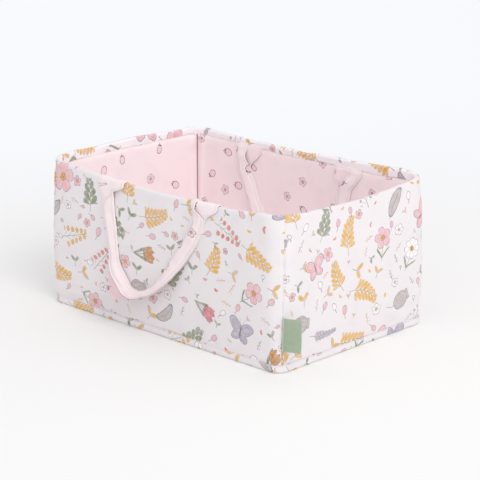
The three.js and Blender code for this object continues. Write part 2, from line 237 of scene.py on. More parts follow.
# Folds of the cloth
def waves(along, up, seed, count, shortest, longest):
    """Sum of long soft waves in random directions, about 1 high."""
    rng = np.random.default_rng(seed)
    total = np.zeros(np.broadcast(along, up).shape)
    for _ in range(count):
        length = rng.uniform(shortest, longest)
        heading, phase = rng.uniform(0, math.pi), rng.uniform(0, 2 * math.pi)
        forth = along * math.cos(heading) + up * math.sin(heading)
        total = total + np.sin(2 * math.pi / length * forth + phase)
    return total / math.sqrt(count)


def swell(along, up, layers, shift=0):
    """Sum of waves. Each layer gives a height, a seed, a count and the shortest and longest wave."""
    return sum(high * waves(along, up, seed + shift, *kind) for high, seed, *kind in layers)


def puckers(along, seed, shortest, longest):
    return waves(along, np.zeros_like(along), seed, 5, shortest, longest)


def gathers(across, along, high, at, reach, seed, lengths):
    """Puckers beside a line at a distance across, fading over a reach, with a least and a most length."""
    return high * hump(across, at, reach) * puckers(along, seed, *lengths)


def crease(along, up, at, heading, length, width):
    """One soft ridge, 1 high, of a length and a width at a place in the cloth."""
    angle = math.radians(heading)
    forth = (along - at[0]) * math.cos(angle) + (up - at[1]) * math.sin(angle)
    aside = (up - at[1]) * math.cos(angle) - (along - at[0]) * math.sin(angle)
    bend = aside - 0.12 * length * (forth / length) ** 2
    return np.exp(-((bend / width) ** 2)) * np.exp(-((2 * forth / length) ** 4))


def stray_creases(rng, along, up, count, shares, rises, highs, leans, lengths, widths):
    """Creases at random. Each kind of number has its least and its most, and shares are of the panel."""
    folds = np.zeros_like(along)
    for _ in range(count):
        at = (rng.uniform(*shares) * along[0, -1], rng.uniform(*rises))
        high = rng.uniform(*highs)
        shape = (rng.uniform(*leans), rng.uniform(*lengths), rng.uniform(*widths))
        folds += high * crease(along, up, at, *shape)
    return folds


def taut(push, slack):
    """Lets cloth stand out freely and sink in no further than slack."""
    return np.where(push < 0, slack * np.tanh(push / slack), push)


# Meshes
def grid_normals(points, ring):
    if ring:
        padded = np.concatenate([points[:, -1:], points, points[:, :1]], axis=1)
        along = np.gradient(padded, axis=1)[:, 1:-1]
    else:
        along = np.gradient(points, axis=1)
    return unit(np.cross(along, np.gradient(points, axis=0)))


def add_object(name, data):
    thing = bpy.data.objects.new(name, data)
    bpy.context.scene.collection.objects.link(thing)
    return thing


def smooth_mesh(name, vertices, faces, maps):
    mesh = bpy.data.meshes.new(name)
    mesh.from_pydata(vertices * MM, [], faces)
    for label, values in maps.items():
        layer = mesh.uv_layers.new(name=label)
        layer.data.foreach_set("uv", np.array(values, np.float32).ravel())
    mesh.update()
    mesh.polygons.foreach_set("use_smooth", [True] * len(mesh.polygons))
    mesh.set_sharp_from_angle(angle=math.radians(55))
    return add_object(name, mesh)


def cloth(name, face, thickness, places, edges, ring=False, back_share=0.06):
    """A closed sheet: the face grid (rows, columns) and the same grid a thickness behind it. places and
    edges give each grid point's place in the cloth, for its print, and its distances from seams and
    folds, for its wear, its stitches, and the painted shade and painted highlight along them. A ring has one
    more column of them than of points."""
    rows, columns = face.shape[:2]
    back = face - grid_normals(face, ring) * thickness
    vertices = np.concatenate([face.reshape(-1, 3), back.reshape(-1, 3)])
    spans = columns if ring else columns - 1
    across, up = np.linspace(0.01, 0.99, spans + 1), np.linspace(0, 1, rows)
    faces, print_map, bake_map, edge_map = [], [], [], []

    def add(corners):
        """Each corner is a layer (0 the face, 1 the back), a row and a column."""
        faces.append([(layer * rows + row) * columns + column % columns for layer, row, column in corners])
        is_edge = len({layer for layer, _, _ in corners}) == 2
        for layer, row, column in corners:
            low, high = (0.005, back_share - 0.01) if layer or is_edge else (back_share + 0.01, 0.99)
            bake_map.append((across[column], low + (high - low) * up[row]))
            print_map.append(places[row, column] * MM)
            edge_map.append(edges[row, column] * MM)

    def close(first, second):
        add([(0, *second), (0, *first), (1, *first), (1, *second)])

    for row in range(rows - 1):
        for column in range(spans):
            quad = [(row, column), (row, column + 1), (row + 1, column + 1), (row + 1, column)]
            add([(0, *corner) for corner in quad])
            add([(1, *corner) for corner in quad[::-1]])
    for column in range(spans):
        close((0, column), (0, column + 1))
        close((rows - 1, column + 1), (rows - 1, column))
    for row in range(0 if ring else rows - 1):
        close((row + 1, 0), (row, 0))
        close((row, columns - 1), (row + 1, columns - 1))
    return smooth_mesh(name, vertices, faces, {"Print": print_map, "OFBake": bake_map, "Edge": edge_map})


def dress(piece, material, nodes, body="tub"):
    piece.data.materials.append(material)
    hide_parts(*nodes)
    if body:
        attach(piece, body)


# Shader arithmetic
class Value:
    """A number in a material: a socket or a plain number, with arithmetic that makes nodes."""

    def __init__(self, tree, source):
        self.tree = tree
        self.source = source

    def _math(self, operation, *others):
        node = self.tree.nodes.new("ShaderNodeMath")
        node.operation = operation
        for i, value in enumerate((self, *others)):
            feed(self.tree, value, node.inputs[i])
        return Value(self.tree, node.outputs[0])

    def __rsub__(self, other):
        return Value(self.tree, other)._math("SUBTRACT", self)

    def clipped(self):
        return Value(self.tree, make(self.tree, "ShaderNodeClamp", {0: self}).outputs[0])

    __add__ = __radd__ = partialmethod(_math, "ADD")
    __sub__ = partialmethod(_math, "SUBTRACT")
    __mul__ = __rmul__ = partialmethod(_math, "MULTIPLY")
    __neg__ = partialmethod(_math, "MULTIPLY", -1)
    __truediv__ = partialmethod(_math, "DIVIDE")
    __pow__ = partialmethod(_math, "POWER")
    __abs__ = partialmethod(_math, "ABSOLUTE")
    __lt__ = partialmethod(_math, "LESS_THAN")
    __gt__ = partialmethod(_math, "GREATER_THAN")
    fract = partialmethod(_math, "FRACT")
    sin = partialmethod(_math, "SINE")
    cos = partialmethod(_math, "COSINE")
    root = partialmethod(_math, "SQRT")
    atan2 = partialmethod(_math, "ARCTAN2")
    least = partialmethod(_math, "MINIMUM")
    most = partialmethod(_math, "MAXIMUM")


def feed(tree, value, socket):
    source = value.source if isinstance(value, Value) else value
    if isinstance(source, bpy.types.NodeSocket):
        tree.links.new(source, socket)
    else:
        socket.default_value = source


def make(tree, kind, inputs=None, **settings):
    node = tree.nodes.new(kind)
    for name, value in settings.items():
        setattr(node, name, value)
    for name, value in (inputs or {}).items():
        feed(tree, value, node.inputs[name])
    return node


def soft(value, edge, blur):
    """1 where value is below edge and 0 above it, over a blur."""
    tree = value.tree
    node = make(tree, "ShaderNodeMapRange", {"Value": value, "From Min": edge, "From Max": edge - blur})
    return Value(tree, node.outputs[0])


def blend_colour(tree, share, first, second):
    node = make(tree, "ShaderNodeMix", data_type="RGBA", clamp_factor=False)
    for i, value in zip((0, 6, 7), (share, first, second)):
        feed(tree, value, node.inputs[i])
    return Value(tree, node.outputs[2])


def colour(red, green, blue):
    """A colour from its 0 to 255 screen values."""
    return tuple(((c / 255 + 0.055) / 1.055) ** 2.4 for c in (red, green, blue)) + (1,)


def separate(tree, vector):
    node = make(tree, "ShaderNodeSeparateXYZ", {0: vector})
    return [Value(tree, s) for s in node.outputs]


def combine(tree, operation, *vectors):
    node = make(tree, "ShaderNodeVectorMath", dict(enumerate(vectors)), operation=operation)
    return node.outputs[0]


def noise(tree, vector, scale, detail, dimensions="2D", output=0):
    inputs = {"Vector": vector, "Scale": scale, "Detail": detail}
    return Value(tree, make(tree, "ShaderNodeTexNoise", inputs, noise_dimensions=dimensions).outputs[output])


def bump(tree, **inputs):
    return make(tree, "ShaderNodeBump", inputs).outputs[0]


def uv(tree, label):
    return Value(tree, make(tree, "ShaderNodeUVMap", uv_map=label).outputs[0])


def new_material(name):
    material = bpy.data.materials.new(name)
    material.use_nodes = True
    material.node_tree.nodes.clear()
    return material, material.node_tree


def show(tree, shader, kind="ShaderNodeOutputMaterial"):
    tree.links.new(shader.outputs[0], make(tree, kind).inputs[0])


# Prints
LINE = 1.0
BLUR = 0.5
ELSEWHERE = 400
GROUND = colour(233, 229, 231)
# Painted light: a paler ground for the facing turned in over the rim
FACING_GROUND_PAINTED_LIGHT = colour(252, 249, 251)
LINING_GROUND = colour(255, 242, 243)
MUSTARD = colour(226, 174, 62)
OCHRE = colour(196, 134, 46)
SAGE = colour(132, 146, 108)
OLIVE = colour(118, 122, 74)
GREY_SAGE = colour(118, 130, 114)
CORAL = colour(216, 122, 128)
PINK = colour(236, 186, 192)
LILAC = colour(180, 172, 188)
TAUPE = colour(190, 181, 178)
PALE = colour(250, 246, 246)
OUTLINE = colour(92, 76, 86)
MAUVE = colour(110, 64, 82)
ROSE = colour(226, 158, 172)
FADED = colour(214, 200, 208)
# Paler ink for rubbed folds and edges, and a painted highlight along the straps' edges
PALE_WEAR_AND_HIGHLIGHT = colour(250, 246, 247)
THREAD = colour(248, 236, 239)
THREAD_SHADE = colour(205, 196, 200)
# Painted shade for the groove beside stitches
STITCH_GROOVE_SHADE = colour(202, 168, 176)


class Drawing:
    """Inks laid over one another on a ground. Fills are as strong as the wash is there."""

    def __init__(self, tree, ground, wash=1):
        self.tree = tree
        self.paint = ground
        self.wash = wash

    def ink(self, share, tone):
        self.paint = blend_colour(self.tree, share, self.paint, tone)

    def fill(self, share, tone):
        self.ink(share * self.wash, tone)

    def either(self, choice, tone, other):
        """The tone, or the other one where the choice is 1."""
        return blend_colour(self.tree, choice, tone, other)


def turned(x, y, angle):
    cosine, sine = angle.cos(), angle.sin()
    return x * cosine + y * sine, y * cosine - x * sine


def line(away, width=LINE):
    """A pencil line where away is near 0."""
    return soft(abs(away), width * 0.6, BLUR)


def filled(away):
    return soft(away, 0.0, BLUR)


def oval(x, y, reach, at, radii):
    """Below 0 inside an oval and about the distance outside it, in millimetres. Its place and its
    radii are shares of the motif's reach."""
    forth, up = (x / reach - at[0]) / radii[0], (y / reach - at[1]) / radii[1]
    return ((forth * forth + up * up).root() - 1) * (reach * min(radii))


def sprig(x, rise, length, spacing, leaf, width, bend):
    """Leaves on both sides of a stem. Returns the shares of leaf, of leaf edge and of stem."""
    climb = rise / length
    side = x - bend * length * (climb - climb * climb)
    from_stem = abs(side)
    order = ((rise - from_stem * 0.8) / spacing + (side > 0) * 0.5).fract() - 0.5
    across = abs(order) * spacing * 0.78
    leaf_here = leaf * (1.18 - climb) ** 0.6 * soft(-climb, -0.2, 0.06)
    out = (from_stem / leaf_here).least(1.0)
    gap = across - width * (out * (1 - out) * 4).root()
    within = soft(climb, 0.99, 0.02) * soft(-climb, 0.0, 0.02)
    above = within * soft(-climb, -0.22, 0.02)
    edge = line(gap, LINE * 0.8) * (out < 0.96) * above
    vein = line(across, LINE * 0.4) * (out < 0.8) * above
    return filled(gap) * within, edge.most(vein * 0.5), line(from_stem) * within


def berry_twig(x, rise, length, spacing, stalk, size):
    """Round berries on slanting stalks. Returns the shares of berry, berry edge and twig."""
    slant_up, slant_out = 0.74, 0.67
    climb = rise / length
    from_stem = abs(x)
    step = (rise - from_stem * (slant_up / slant_out)) / spacing + (x > 0) * 0.5
    off = (step.fract() - 0.5) * spacing * slant_out
    along = (from_stem + off * slant_up) / slant_out
    past = along - stalk * (1.2 - climb)
    ball = (off * off + past * past).root() - size
    below_tip = soft(climb, 0.97, 0.02)
    within = below_tip * soft(-climb, -0.14, 0.02)
    twig = line(off, LINE * 0.7) * soft(past, -size * 0.7, BLUR) * within
    stem = line(from_stem) * below_tip * soft(-climb, 0.0, 0.02)
    return filled(ball) * within, line(ball) * within, twig.most(stem)


def bloom(x, y, reach, petals, notch):
    """A flower face. Returns the shares of petal, outline and centre."""
    away = (x * x + y * y).root()
    turn = y.atan2(x) * petals * (1 / (2 * math.pi))
    fan = abs(turn.fract() - 0.5) * 2
    past = away - reach * (1 - notch * fan**3)
    arc = away * math.pi / petals
    parting = line((1 - fan) * arc, LINE * 0.8) * (away < reach * 0.62)
    vein = line(fan * arc, LINE * 0.6) * (away < reach * 0.66) * (away > reach * 0.36)
    heart = away - reach * 0.24
    return filled(past), line(past).most(parting).most(vein * 0.7).most(line(heart)), filled(heart)


# Motifs of the outer print. Each has its place in x and y, its reach, and the random shares that pick
# it and vary it. The places whose pick is past COMPACT_FROM hold round motifs, drawn smaller.
SAGE_FROM, LILAC_FROM, TWIG_FROM, BARE_FROM = 0.37, 0.46, 0.51, 0.57
COMPACT_FROM, DAISY_FROM, TULIP_FROM = 0.62, 0.69, 0.75
BUTTERFLY_FROM, FEATHER_FROM, POD_FROM = 0.82, 0.88, 0.94
COMPACT_SHARE = 0.84
LOW_HEART_FROM = 4.6


def draw_branch(drawing, x, y, reach, pick, vary):
    sage, lilac = pick > SAGE_FROM, pick > LILAC_FROM
    spacing = 7.0 + sage * 3.6 - lilac * 5.0
    leaf = reach * (0.56 + sage * 0.06 - lilac * 0.34)
    width = 2.5 + sage * 1.3 - lilac * 2.0
    bend = (vary - 0.5) * (1.5 - sage * 0.7)
    blade, edge, stem = sprig(x, y + reach, reach * 1.94, spacing, leaf, width, bend)
    drawing.fill(blade, drawing.either(lilac, drawing.either(sage, MUSTARD, SAGE), LILAC))
    drawing.ink(edge * (sage * 0.3 + 0.55), drawing.either(sage, OCHRE, OUTLINE))
    drawing.ink(stem * 0.85, drawing.either(sage, OLIVE, GREY_SAGE))


def draw_twig(drawing, x, y, reach, pick, vary):
    """Mustard, coral or bare outlined berries."""
    coral, bare = vary > 0.72, pick > BARE_FROM
    berry, edge, twig = berry_twig(x, y + reach, reach * 1.95, 9.6, reach * 0.6, 3.0 - bare * 1.4)
    drawing.ink(twig * 0.85, drawing.either(bare, OLIVE, OUTLINE))
    drawing.fill(berry, drawing.either(bare, drawing.either(coral, MUSTARD, CORAL), TAUPE))
    drawing.ink(edge * 0.85, drawing.either(bare, OCHRE, OUTLINE))


def draw_blossom(drawing, x, y, reach, pick, vary):
    """A pink blossom or a white one with more petals, some with a stem and two leaves."""
    stemmed, daisy = vary > 0.4, pick > DAISY_FROM
    sway = x - (y + reach) * (y + reach) / (reach * 9)
    stalk = line(sway) * filled(y) * soft(-y, reach * 0.96, BLUR) * stemmed
    fold = abs(sway) - (y + reach * 0.75) * 0.9
    slim = soft(abs(fold) - 1.7, 0.0, BLUR) * (abs(sway) < reach * 0.5) * (y < reach * -0.1) * stemmed
    drawing.fill(slim, SAGE)
    drawing.ink(stalk * 0.9, GREY_SAGE)
    size = reach * (0.88 - stemmed * 0.28)
    petal, lines, centre = bloom(x, y - stemmed * reach * 0.36, size, 5 + daisy * 3, 0.36)
    drawing.fill(petal, drawing.either(daisy, PINK, PALE))
    drawing.ink(centre, MUSTARD)
    drawing.ink(lines * 0.8, OUTLINE)


def draw_tulip(drawing, x, y, reach, pick, vary):
    foot = y + reach * 0.9
    zigzag = y - reach * 0.76 + abs((abs(x) / (reach * 0.36)).fract() - 0.5) * reach * 0.46
    cup = oval(x, y, reach, (0, 0.42), (0.46, 0.56)).most(zigzag)
    inner = oval(x, y, reach, (0, 0.5), (0.18, 0.56))
    blades = abs(abs(x) - foot * 0.36) - 2.4 * (foot / reach).clipped().root()
    blades = blades.most(abs(y + reach * 0.42) - reach * 0.46)
    drawing.fill(filled(blades), SAGE)
    drawing.ink(line(blades, LINE * 0.7) * 0.6, OUTLINE)
    drawing.ink(line(x) * soft(abs(y + reach * 0.5), reach * 0.48, BLUR), GREY_SAGE)
    drawing.fill(filled(cup), drawing.either(vary > 0.5, CORAL, OCHRE))
    drawing.ink(line(cup).most(line(inner, LINE * 0.7) * filled(cup)) * 0.78, OUTLINE)


def draw_butterfly(drawing, x, y, reach, pick, vary):
    x = abs(x)
    upper = oval(x * 0.82 + y * 0.57, y * 0.82 - x * 0.57, reach, (0.48, 0), (0.48, 0.31))
    lower = oval(x * 0.66 - y * 0.75, y * 0.66 + x * 0.75, reach, (0.36, 0), (0.35, 0.24))
    wing = upper.least(lower)
    body = oval(x, y, reach, (0, 0), (0.07, 0.42))
    spots = line(upper + reach * 0.13, LINE * 0.8).most(line(lower + reach * 0.1, LINE * 0.8))
    feeler = line(x - (y - reach * 0.3) * 0.4, LINE * 0.6) * (y > reach * 0.3) * (y < reach * 0.75)
    drawing.fill(filled(wing), drawing.either(vary > 0.5, LILAC, PINK))
    drawing.ink(line(wing).most(spots * 0.6).most(filled(body)).most(feeler) * 0.78, OUTLINE)


def draw_feather(drawing, x, y, reach, pick, vary):
    x = x - (vary - 0.5) * (y * y) / reach
    vane = oval(x, y, reach, (0, 0.12), (0.32, 0.84))
    barbs = line((((y - abs(x) * 0.9) / 3.4).fract() - 0.5) * 3.4, LINE * 0.55) * filled(vane + 0.8)
    quill = line(x, LINE * 0.8) * (abs(y) < reach * 0.94)
    drawing.fill(filled(vane), TAUPE)
    drawing.ink((barbs * 0.7).most(line(vane)).most(quill) * 0.85, OUTLINE)


def draw_pod(drawing, x, y, reach, pick, vary):
    """A ribbed round seed pod with a little crown and a curved stalk."""
    pod = oval(x, y, reach, (0, 0.2), (0.52, 0.56))
    rib = x / (1.02 - ((y - reach * 0.2) / (reach * 0.58)) ** 2).most(0.02).root()
    ribs = line(((rib / (reach * 0.26)).fract() - 0.5) * reach * 0.26, LINE * 0.7) * filled(pod)
    crown = (abs(y - reach * 0.82) - reach * 0.08).most(abs(x) - reach * 0.3)
    shape = pod.least(crown)
    low = y + reach * 0.3
    stalk = line(x + low * low / reach) * soft(abs(y + reach * 0.64), reach * 0.34, BLUR)
    drawing.fill(filled(shape), TAUPE)
    drawing.ink(ribs.most(line(shape)).most(stalk) * 0.78, OUTLINE)


def draw_small_bloom(drawing, x, y, reach, pick, vary):
    petal, lines, centre = bloom(x, y, reach * 0.9, 5, 0.42)
    drawing.fill(petal, drawing.either(vary > 0.5, PINK, PALE))
    drawing.ink(lines * 0.8, OUTLINE)
    drawing.ink(centre, MUSTARD)


def draw_leaf_pair(drawing, x, y, reach, pick, vary):
    x = abs(x)
    leaf = oval(x * 0.77 + y * 0.64, y * 0.77 - x * 0.64, reach, (0.6, 0), (0.62, 0.26))
    stalk = line(x) * (abs(y + reach * 0.45) < reach * 0.45)
    drawing.fill(filled(leaf), drawing.either(vary > 0.45, SAGE, MUSTARD))
    drawing.ink(line(leaf, LINE * 0.6).most(stalk) * 0.75, OUTLINE)


def draw_bud(drawing, x, y, reach, pick, vary):
    bud = oval(x, y, reach, (0, 0.35), (0.42, 0.6))
    stalk = line(x) * (abs(y + reach * 0.6) < reach * 0.36)
    pleat = line(abs(x) - reach * 0.16, LINE * 0.5) * filled(bud)
    drawing.fill(filled(bud), drawing.either(vary > 0.35, PALE, PINK))
    drawing.ink(line(bud, LINE * 0.8).most(stalk).most(pleat) * 0.85, OUTLINE)


def draw_heart(drawing, x, y, reach, pick, vary):
    """A heart, half as high where it is drawn large."""
    x = abs(x)
    y = y * (1 + (reach > LOW_HEART_FROM)) - x * 0.7
    heart = (x * x + y * y * 1.2).root() - reach * 0.42
    drawing.fill(filled(heart), drawing.either(vary > 0.75, MUSTARD, CORAL))
    drawing.ink(line(heart, LINE * 0.5) * 0.6, OCHRE)


def draw_tuft(drawing, x, y, reach, pick, vary):
    berry, _, twig = berry_twig(x, y + reach, reach * 1.9, reach * 0.75, reach * 0.55, 0.8)
    drawing.ink(berry.most(twig) * 0.8, drawing.either(vary > 0.4, OUTLINE, OCHRE))


# Each motif with the share of places where it starts
LARGE_MOTIFS = [
    (0, draw_branch), (TWIG_FROM, draw_twig), (COMPACT_FROM, draw_blossom), (TULIP_FROM, draw_tulip),
    (BUTTERFLY_FROM, draw_butterfly), (FEATHER_FROM, draw_feather), (POD_FROM, draw_pod),
]
SMALL_MOTIFS = [
    (0, draw_small_bloom), (0.14, draw_leaf_pair), (0.42, draw_bud), (0.62, draw_heart), (0.76, draw_tuft),
]


def draw_motifs(drawing, motifs, x, y, reach, pick, vary):
    """Each motif at its share of the places. Elsewhere it is drawn out of sight."""
    ends = [start for start, _ in motifs[1:]] + [1]
    for (start, draw), end in zip(motifs, ends):
        here = (pick > start) * (pick < end)
        draw(drawing, x + (1 - here) * ELSEWHERE, y, reach, pick, vary)


def scatter(tree, vector, cell, uneven):
    """The nearest point of an uneven lattice: its place, three random shares, its free room and how
    far away it is."""
    lattice = {"Vector": vector, "Scale": 1 / cell, "Randomness": uneven}
    near = make(tree, "ShaderNodeTexVoronoi", lattice, voronoi_dimensions="2D")
    room = make(tree, "ShaderNodeTexVoronoi", lattice, voronoi_dimensions="2D", feature="N_SPHERE_RADIUS")
    radius = (Value(tree, room.outputs["Radius"]) * 1.04).least(0.52) * cell
    away = Value(tree, near.outputs["Distance"]) * cell
    return near.outputs["Position"], separate(tree, near.outputs["Color"]), radius, away


def motif_axes(tree, vector, place, angle):
    """Distances across and up from a motif's place, turned by an angle."""
    x, y, _ = separate(tree, combine(tree, "SUBTRACT", vector, place))
    return turned(x, y, angle)


def flat_place(tree):
    """Place in the cloth in millimetres."""
    return combine(tree, "MULTIPLY", uv(tree, "Print"), (PER_METRE, PER_METRE, 0))


def cloth_places(tree, turn, wobble_scale, wobble_by):
    """Place in the cloth, and the same turned and drawn with an unsteady hand."""
    flat = flat_place(tree)
    wobble = noise(tree, flat, wobble_scale, 2.0, output="Color")
    drift = combine(tree, "SUBTRACT", wobble, (0.5, 0.5, 0.5))
    drawn = combine(tree, "MULTIPLY_ADD", drift, (wobble_by, wobble_by, 0), flat)
    askew = make(tree, "ShaderNodeVectorRotate", {"Vector": drawn, "Angle": turn}, rotation_type="Z_AXIS")
    return flat, askew.outputs[0]


# Lattices of the motifs: the size of a cell and how uneven they are, and how far a print is tilted
LARGE_CELL, LARGE_UNEVEN = 54.0, 0.3
SMALL_CELL, SMALL_UNEVEN = 19.0, 0.5
LINING_CELL, LINING_UNEVEN = 44.0, 0.8
PRINT_TILT, LINING_TILT = 0.42, 0.7

# How far small motifs may reach into large ones, less by some into round ones, and their sizes
OVERLAP, COMPACT_OVERLAP_LESS = 5.2, 1.8
SMALL_LEAST, SMALL_MOST = 2.6, 10.0


def print_pattern(tree, ground):
    """Scattered garden print: branches, berries, blossoms, tulips, butterflies, feathers and pods."""
    flat, vector = cloth_places(tree, PRINT_TILT, 0.13, 2.2)
    place, (pick, spin, vary), room, _ = scatter(tree, vector, LARGE_CELL, LARGE_UNEVEN)
    reach = room * (1 - (pick > COMPACT_FROM) * (1 - COMPACT_SHARE))
    x, y = motif_axes(tree, vector, place, (spin - 0.5) * 2.6 - PRINT_TILT)
    drawing = Drawing(tree, ground, noise(tree, vector, 0.13, 3.0) * 0.9 + 0.42)
    draw_motifs(drawing, LARGE_MOTIFS, x, y, reach, pick, vary)

    # Small motifs, each as large as the room between the large ones lets it be
    spot, (pick, spin, vary), own_room, _ = scatter(tree, vector, SMALL_CELL, SMALL_UNEVEN)
    _, (owner, _, _), owner_room, owner_away = scatter(tree, spot, LARGE_CELL, LARGE_UNEVEN)
    compact = owner > COMPACT_FROM
    taken = owner_room * (1 - compact * (1 - COMPACT_SHARE))
    free = owner_away - taken + (OVERLAP - compact * COMPACT_OVERLAP_LESS)
    reach = free.least(own_room * 0.98).least(SMALL_MOST).most(1.0)
    x, y = motif_axes(tree, vector, spot, (spin - 0.5) * 3.0 - PRINT_TILT)
    draw_motifs(drawing, SMALL_MOTIFS, x + (reach < SMALL_LEAST) * ELSEWHERE, y, reach, pick, vary)
    return drawing.paint, flat


def lining_pattern(tree, ground):
    """Pink cloth with a sparse scatter of small outlined blossoms and buds."""
    flat, vector = cloth_places(tree, LINING_TILT, 0.3, 1.5)
    place, (pick, spin, vary), _, _ = scatter(tree, vector, LINING_CELL, LINING_UNEVEN)
    x, y = motif_axes(tree, vector, place, (spin - 0.5) * 3.4 - LINING_TILT)
    reach = 5.0 + vary * 1.7
    drawing = Drawing(tree, ground, noise(tree, vector, 0.25, 2.0) * 0.5 + 0.35)
    is_bloom = pick < 0.35
    petal, lines, _ = bloom(x + (1 - is_bloom) * ELSEWHERE, y, reach, 5, 0.4)
    drawing.fill(petal * 0.45, ROSE)
    drawing.ink(lines * 0.9, MAUVE)
    x = x + is_bloom * ELSEWHERE
    bud = oval(x, y, reach, (0, 0), (0.74, 0.96))
    cap = oval(abs(x), y, reach, (0.26, 0.95), (0.36, 0.2))
    stalk = line(x - (y - reach) * 0.2) * soft(abs(y - reach * 1.3), reach * 0.34, BLUR)
    pleat = line(abs(x) - reach * 0.3, LINE * 0.5) * filled(bud) * (y > 0)
    drawing.fill(filled(bud) * 0.45, ROSE)
    drawing.ink(filled(cap).most(line(bud)).most(stalk).most(pleat * 0.6) * 0.95, MAUVE)
    return drawing.paint, flat


# Finishes
WEAVE_PITCH = 0.8
RIB_PITCH = 0.9
STITCH_LENGTH = 3.0
STRAP_STITCH_AT = 2.6
BINDING_STITCH_AT = 1.6
BINDING_FOLD_AT = 9.5
STRAP_MIDDLE = 185


def edge_distances(tree):
    across, along, _ = separate(tree, uv(tree, "Edge"))
    return across * PER_METRE, along * PER_METRE


def woven(tree, flat):
    """Bump of a plain weave with slubs, and the slubs alone, from the place in the cloth."""
    x, y, _ = separate(tree, flat)
    warp, weft = ((axis * (2 * math.pi / WEAVE_PITCH)).sin() for axis in (x, y))
    slub = noise(tree, flat, 0.9, 3.0)
    return bump(tree, Strength=0.5, Distance=0.0001, Height=warp * weft * 0.35 + slub * 1.2), slub


def cloth_shader(tree, paint, normal, slub):
    """Colour with faint thread variation, rough and with a soft sheen."""
    show(tree, make(tree, "ShaderNodeBsdfPrincipled", {
        "Base Color": blend_colour(tree, slub * 0.14, paint, THREAD_SHADE),
        "Roughness": slub * 0.12 + 0.82, "Normal": normal,
        "Sheen Weight": 0.15, "Sheen Roughness": 0.6, "Specular IOR Level": 0.25,
    }))


def stitches(across, along, at):
    """Share of thread and of the groove beside it, on a seam at a distance from an edge."""
    dash = soft(abs((along / STITCH_LENGTH).fract() - 0.5) * STITCH_LENGTH, 1.15, 0.3)
    away = abs(across - at)
    return soft(away, 0.42, 0.25) * dash, soft(away, 1.5, 1.5)


def at_edge(across, along):
    return across


def at_rim(across, along):
    return abs(along)


def at_lining_top(across, along):
    return along


def at_binding_fold(across, along):
    return abs(across - BINDING_FOLD_AT)


def cloth_material(name, pattern, pale_edge_at, stitch_at=None, seam_shade_tones=None, wear_and_highlight=0.3):
    """The function for the pale edges gives, from the Edge map's two numbers, how far away the fold is that
    is inked paler: rubbed wear, and painted highlight on the straps. The seam tones are the colours of painted
    shade beside the seams and down in them."""
    material, tree = new_material(name)
    paint, flat = pattern(tree)
    drawing = Drawing(tree, paint)
    across, along = edge_distances(tree)
    drawing.ink(soft(noise(tree, flat, 0.035, 3.0), 0.48, 0.2) * 0.1, FADED)
    fray = noise(tree, flat, 0.7, 4.0)
    # Paler ink along rubbed folds: wear, and on the straps a painted highlight along their edges
    drawing.ink(soft(pale_edge_at(across, along), 1.6, 1.6) * soft(-fray, -0.42, 0.2) * wear_and_highlight, PALE_WEAR_AND_HIGHLIGHT)
    if seam_shade_tones:
        # Painted shade: a faint darkening beside the seams and a dark line of painted shade down in their
        # groove
        drawing.ink(soft(across, 9.0, 8.0) * 0.18, seam_shade_tones[0])
        drawing.ink(soft(across, 1.05, 0.6) * 0.95, seam_shade_tones[1])
    normal, slub = woven(tree, flat)
    if stitch_at:
        thread, groove = stitches(across, along, stitch_at)
        # Painted shade in the groove beside the stitches
        drawing.ink(groove * 0.12, STITCH_GROOVE_SHADE)
        drawing.ink(thread * 0.75, THREAD)
        normal = bump(tree, Strength=0.8, Distance=0.0004, Height=thread - groove * 0.8, Normal=normal)
    cloth_shader(tree, drawing.paint, normal, slub)
    return material


def board_material(name, tone, spot):
    """Fibre board or felt: mottled, with fine specks."""
    material, tree = new_material(name)
    place = make(tree, "ShaderNodeTexCoord").outputs["Object"]
    grain = noise(tree, place, 60.0, 4.0, "3D") * 0.5 + noise(tree, place, 900.0, 2.0, "3D") * 0.5
    show(tree, make(tree, "ShaderNodeBsdfPrincipled", {
        "Base Color": blend_colour(tree, grain.clipped(), tone, spot),
        "Roughness": grain * 0.2 + 0.75, "Normal": bump(tree, Strength=0.4, Distance=0.0002, Height=grain),
    }))
    return material


def label_pattern(tree):
    """Bare woven ribbon, paler along its sewn end, with fine ribs."""
    flat = flat_place(tree)
    x, y, _ = separate(tree, flat)
    ribs = (y * (2 * math.pi / RIB_PITCH)).sin() * 0.5 + 0.5
    tone = blend_colour(tree, noise(tree, flat, 0.2, 3.0), colour(146, 168, 136), colour(164, 184, 156))
    tone = blend_colour(tree, ribs * 0.2, tone, colour(126, 152, 116))
    from_seam = x.least(2 * LABEL_WIDTH - x)
    return blend_colour(tree, soft(from_seam, 3.4, 0.5) * 0.7, tone, colour(204, 216, 196)), flat


def strap_cloth(name, front_tone, shaded_back_tone, lit_end_tone, wear_and_highlight):
    """The layer that lies on the wall is painted darker along the hanging part, as painted shade under the
    front layer, and paler at its ends, as painted light on the flaps there.
    """
    def pattern(tree):
        from_fold = separate(tree, uv(tree, "Print"))[1]
        from_middle = abs(edge_distances(tree)[1] - STRAP_MIDDLE)
        # Painted shade on the back layer along the hanging part, painted light on it towards the ends
        back = blend_colour(tree, soft(from_middle, 120, 40), lit_end_tone, shaded_back_tone)
        return lining_pattern(tree, blend_colour(tree, soft(from_fold, 0.0, 0.001), front_tone, back))

    # On the straps the pale ink along the edges is mostly painted highlight
    return cloth_material(name, pattern, at_edge, STRAP_STITCH_AT, wear_and_highlight=wear_and_highlight)


def wall_print(tree):
    """The print, on a ground painted paler where the cloth is turned in over the rim: painted light on the
    facing, which the lamps leave in shade.
    """
    turned_in = soft(edge_distances(tree)[1], -0.5, 2.5)
    return print_pattern(tree, blend_colour(tree, turned_in, GROUND, FACING_GROUND_PAINTED_LIGHT))


def binding_print(tree):
    return print_pattern(tree, GROUND)


def plain_lining(tree):
    return lining_pattern(tree, LINING_GROUND)


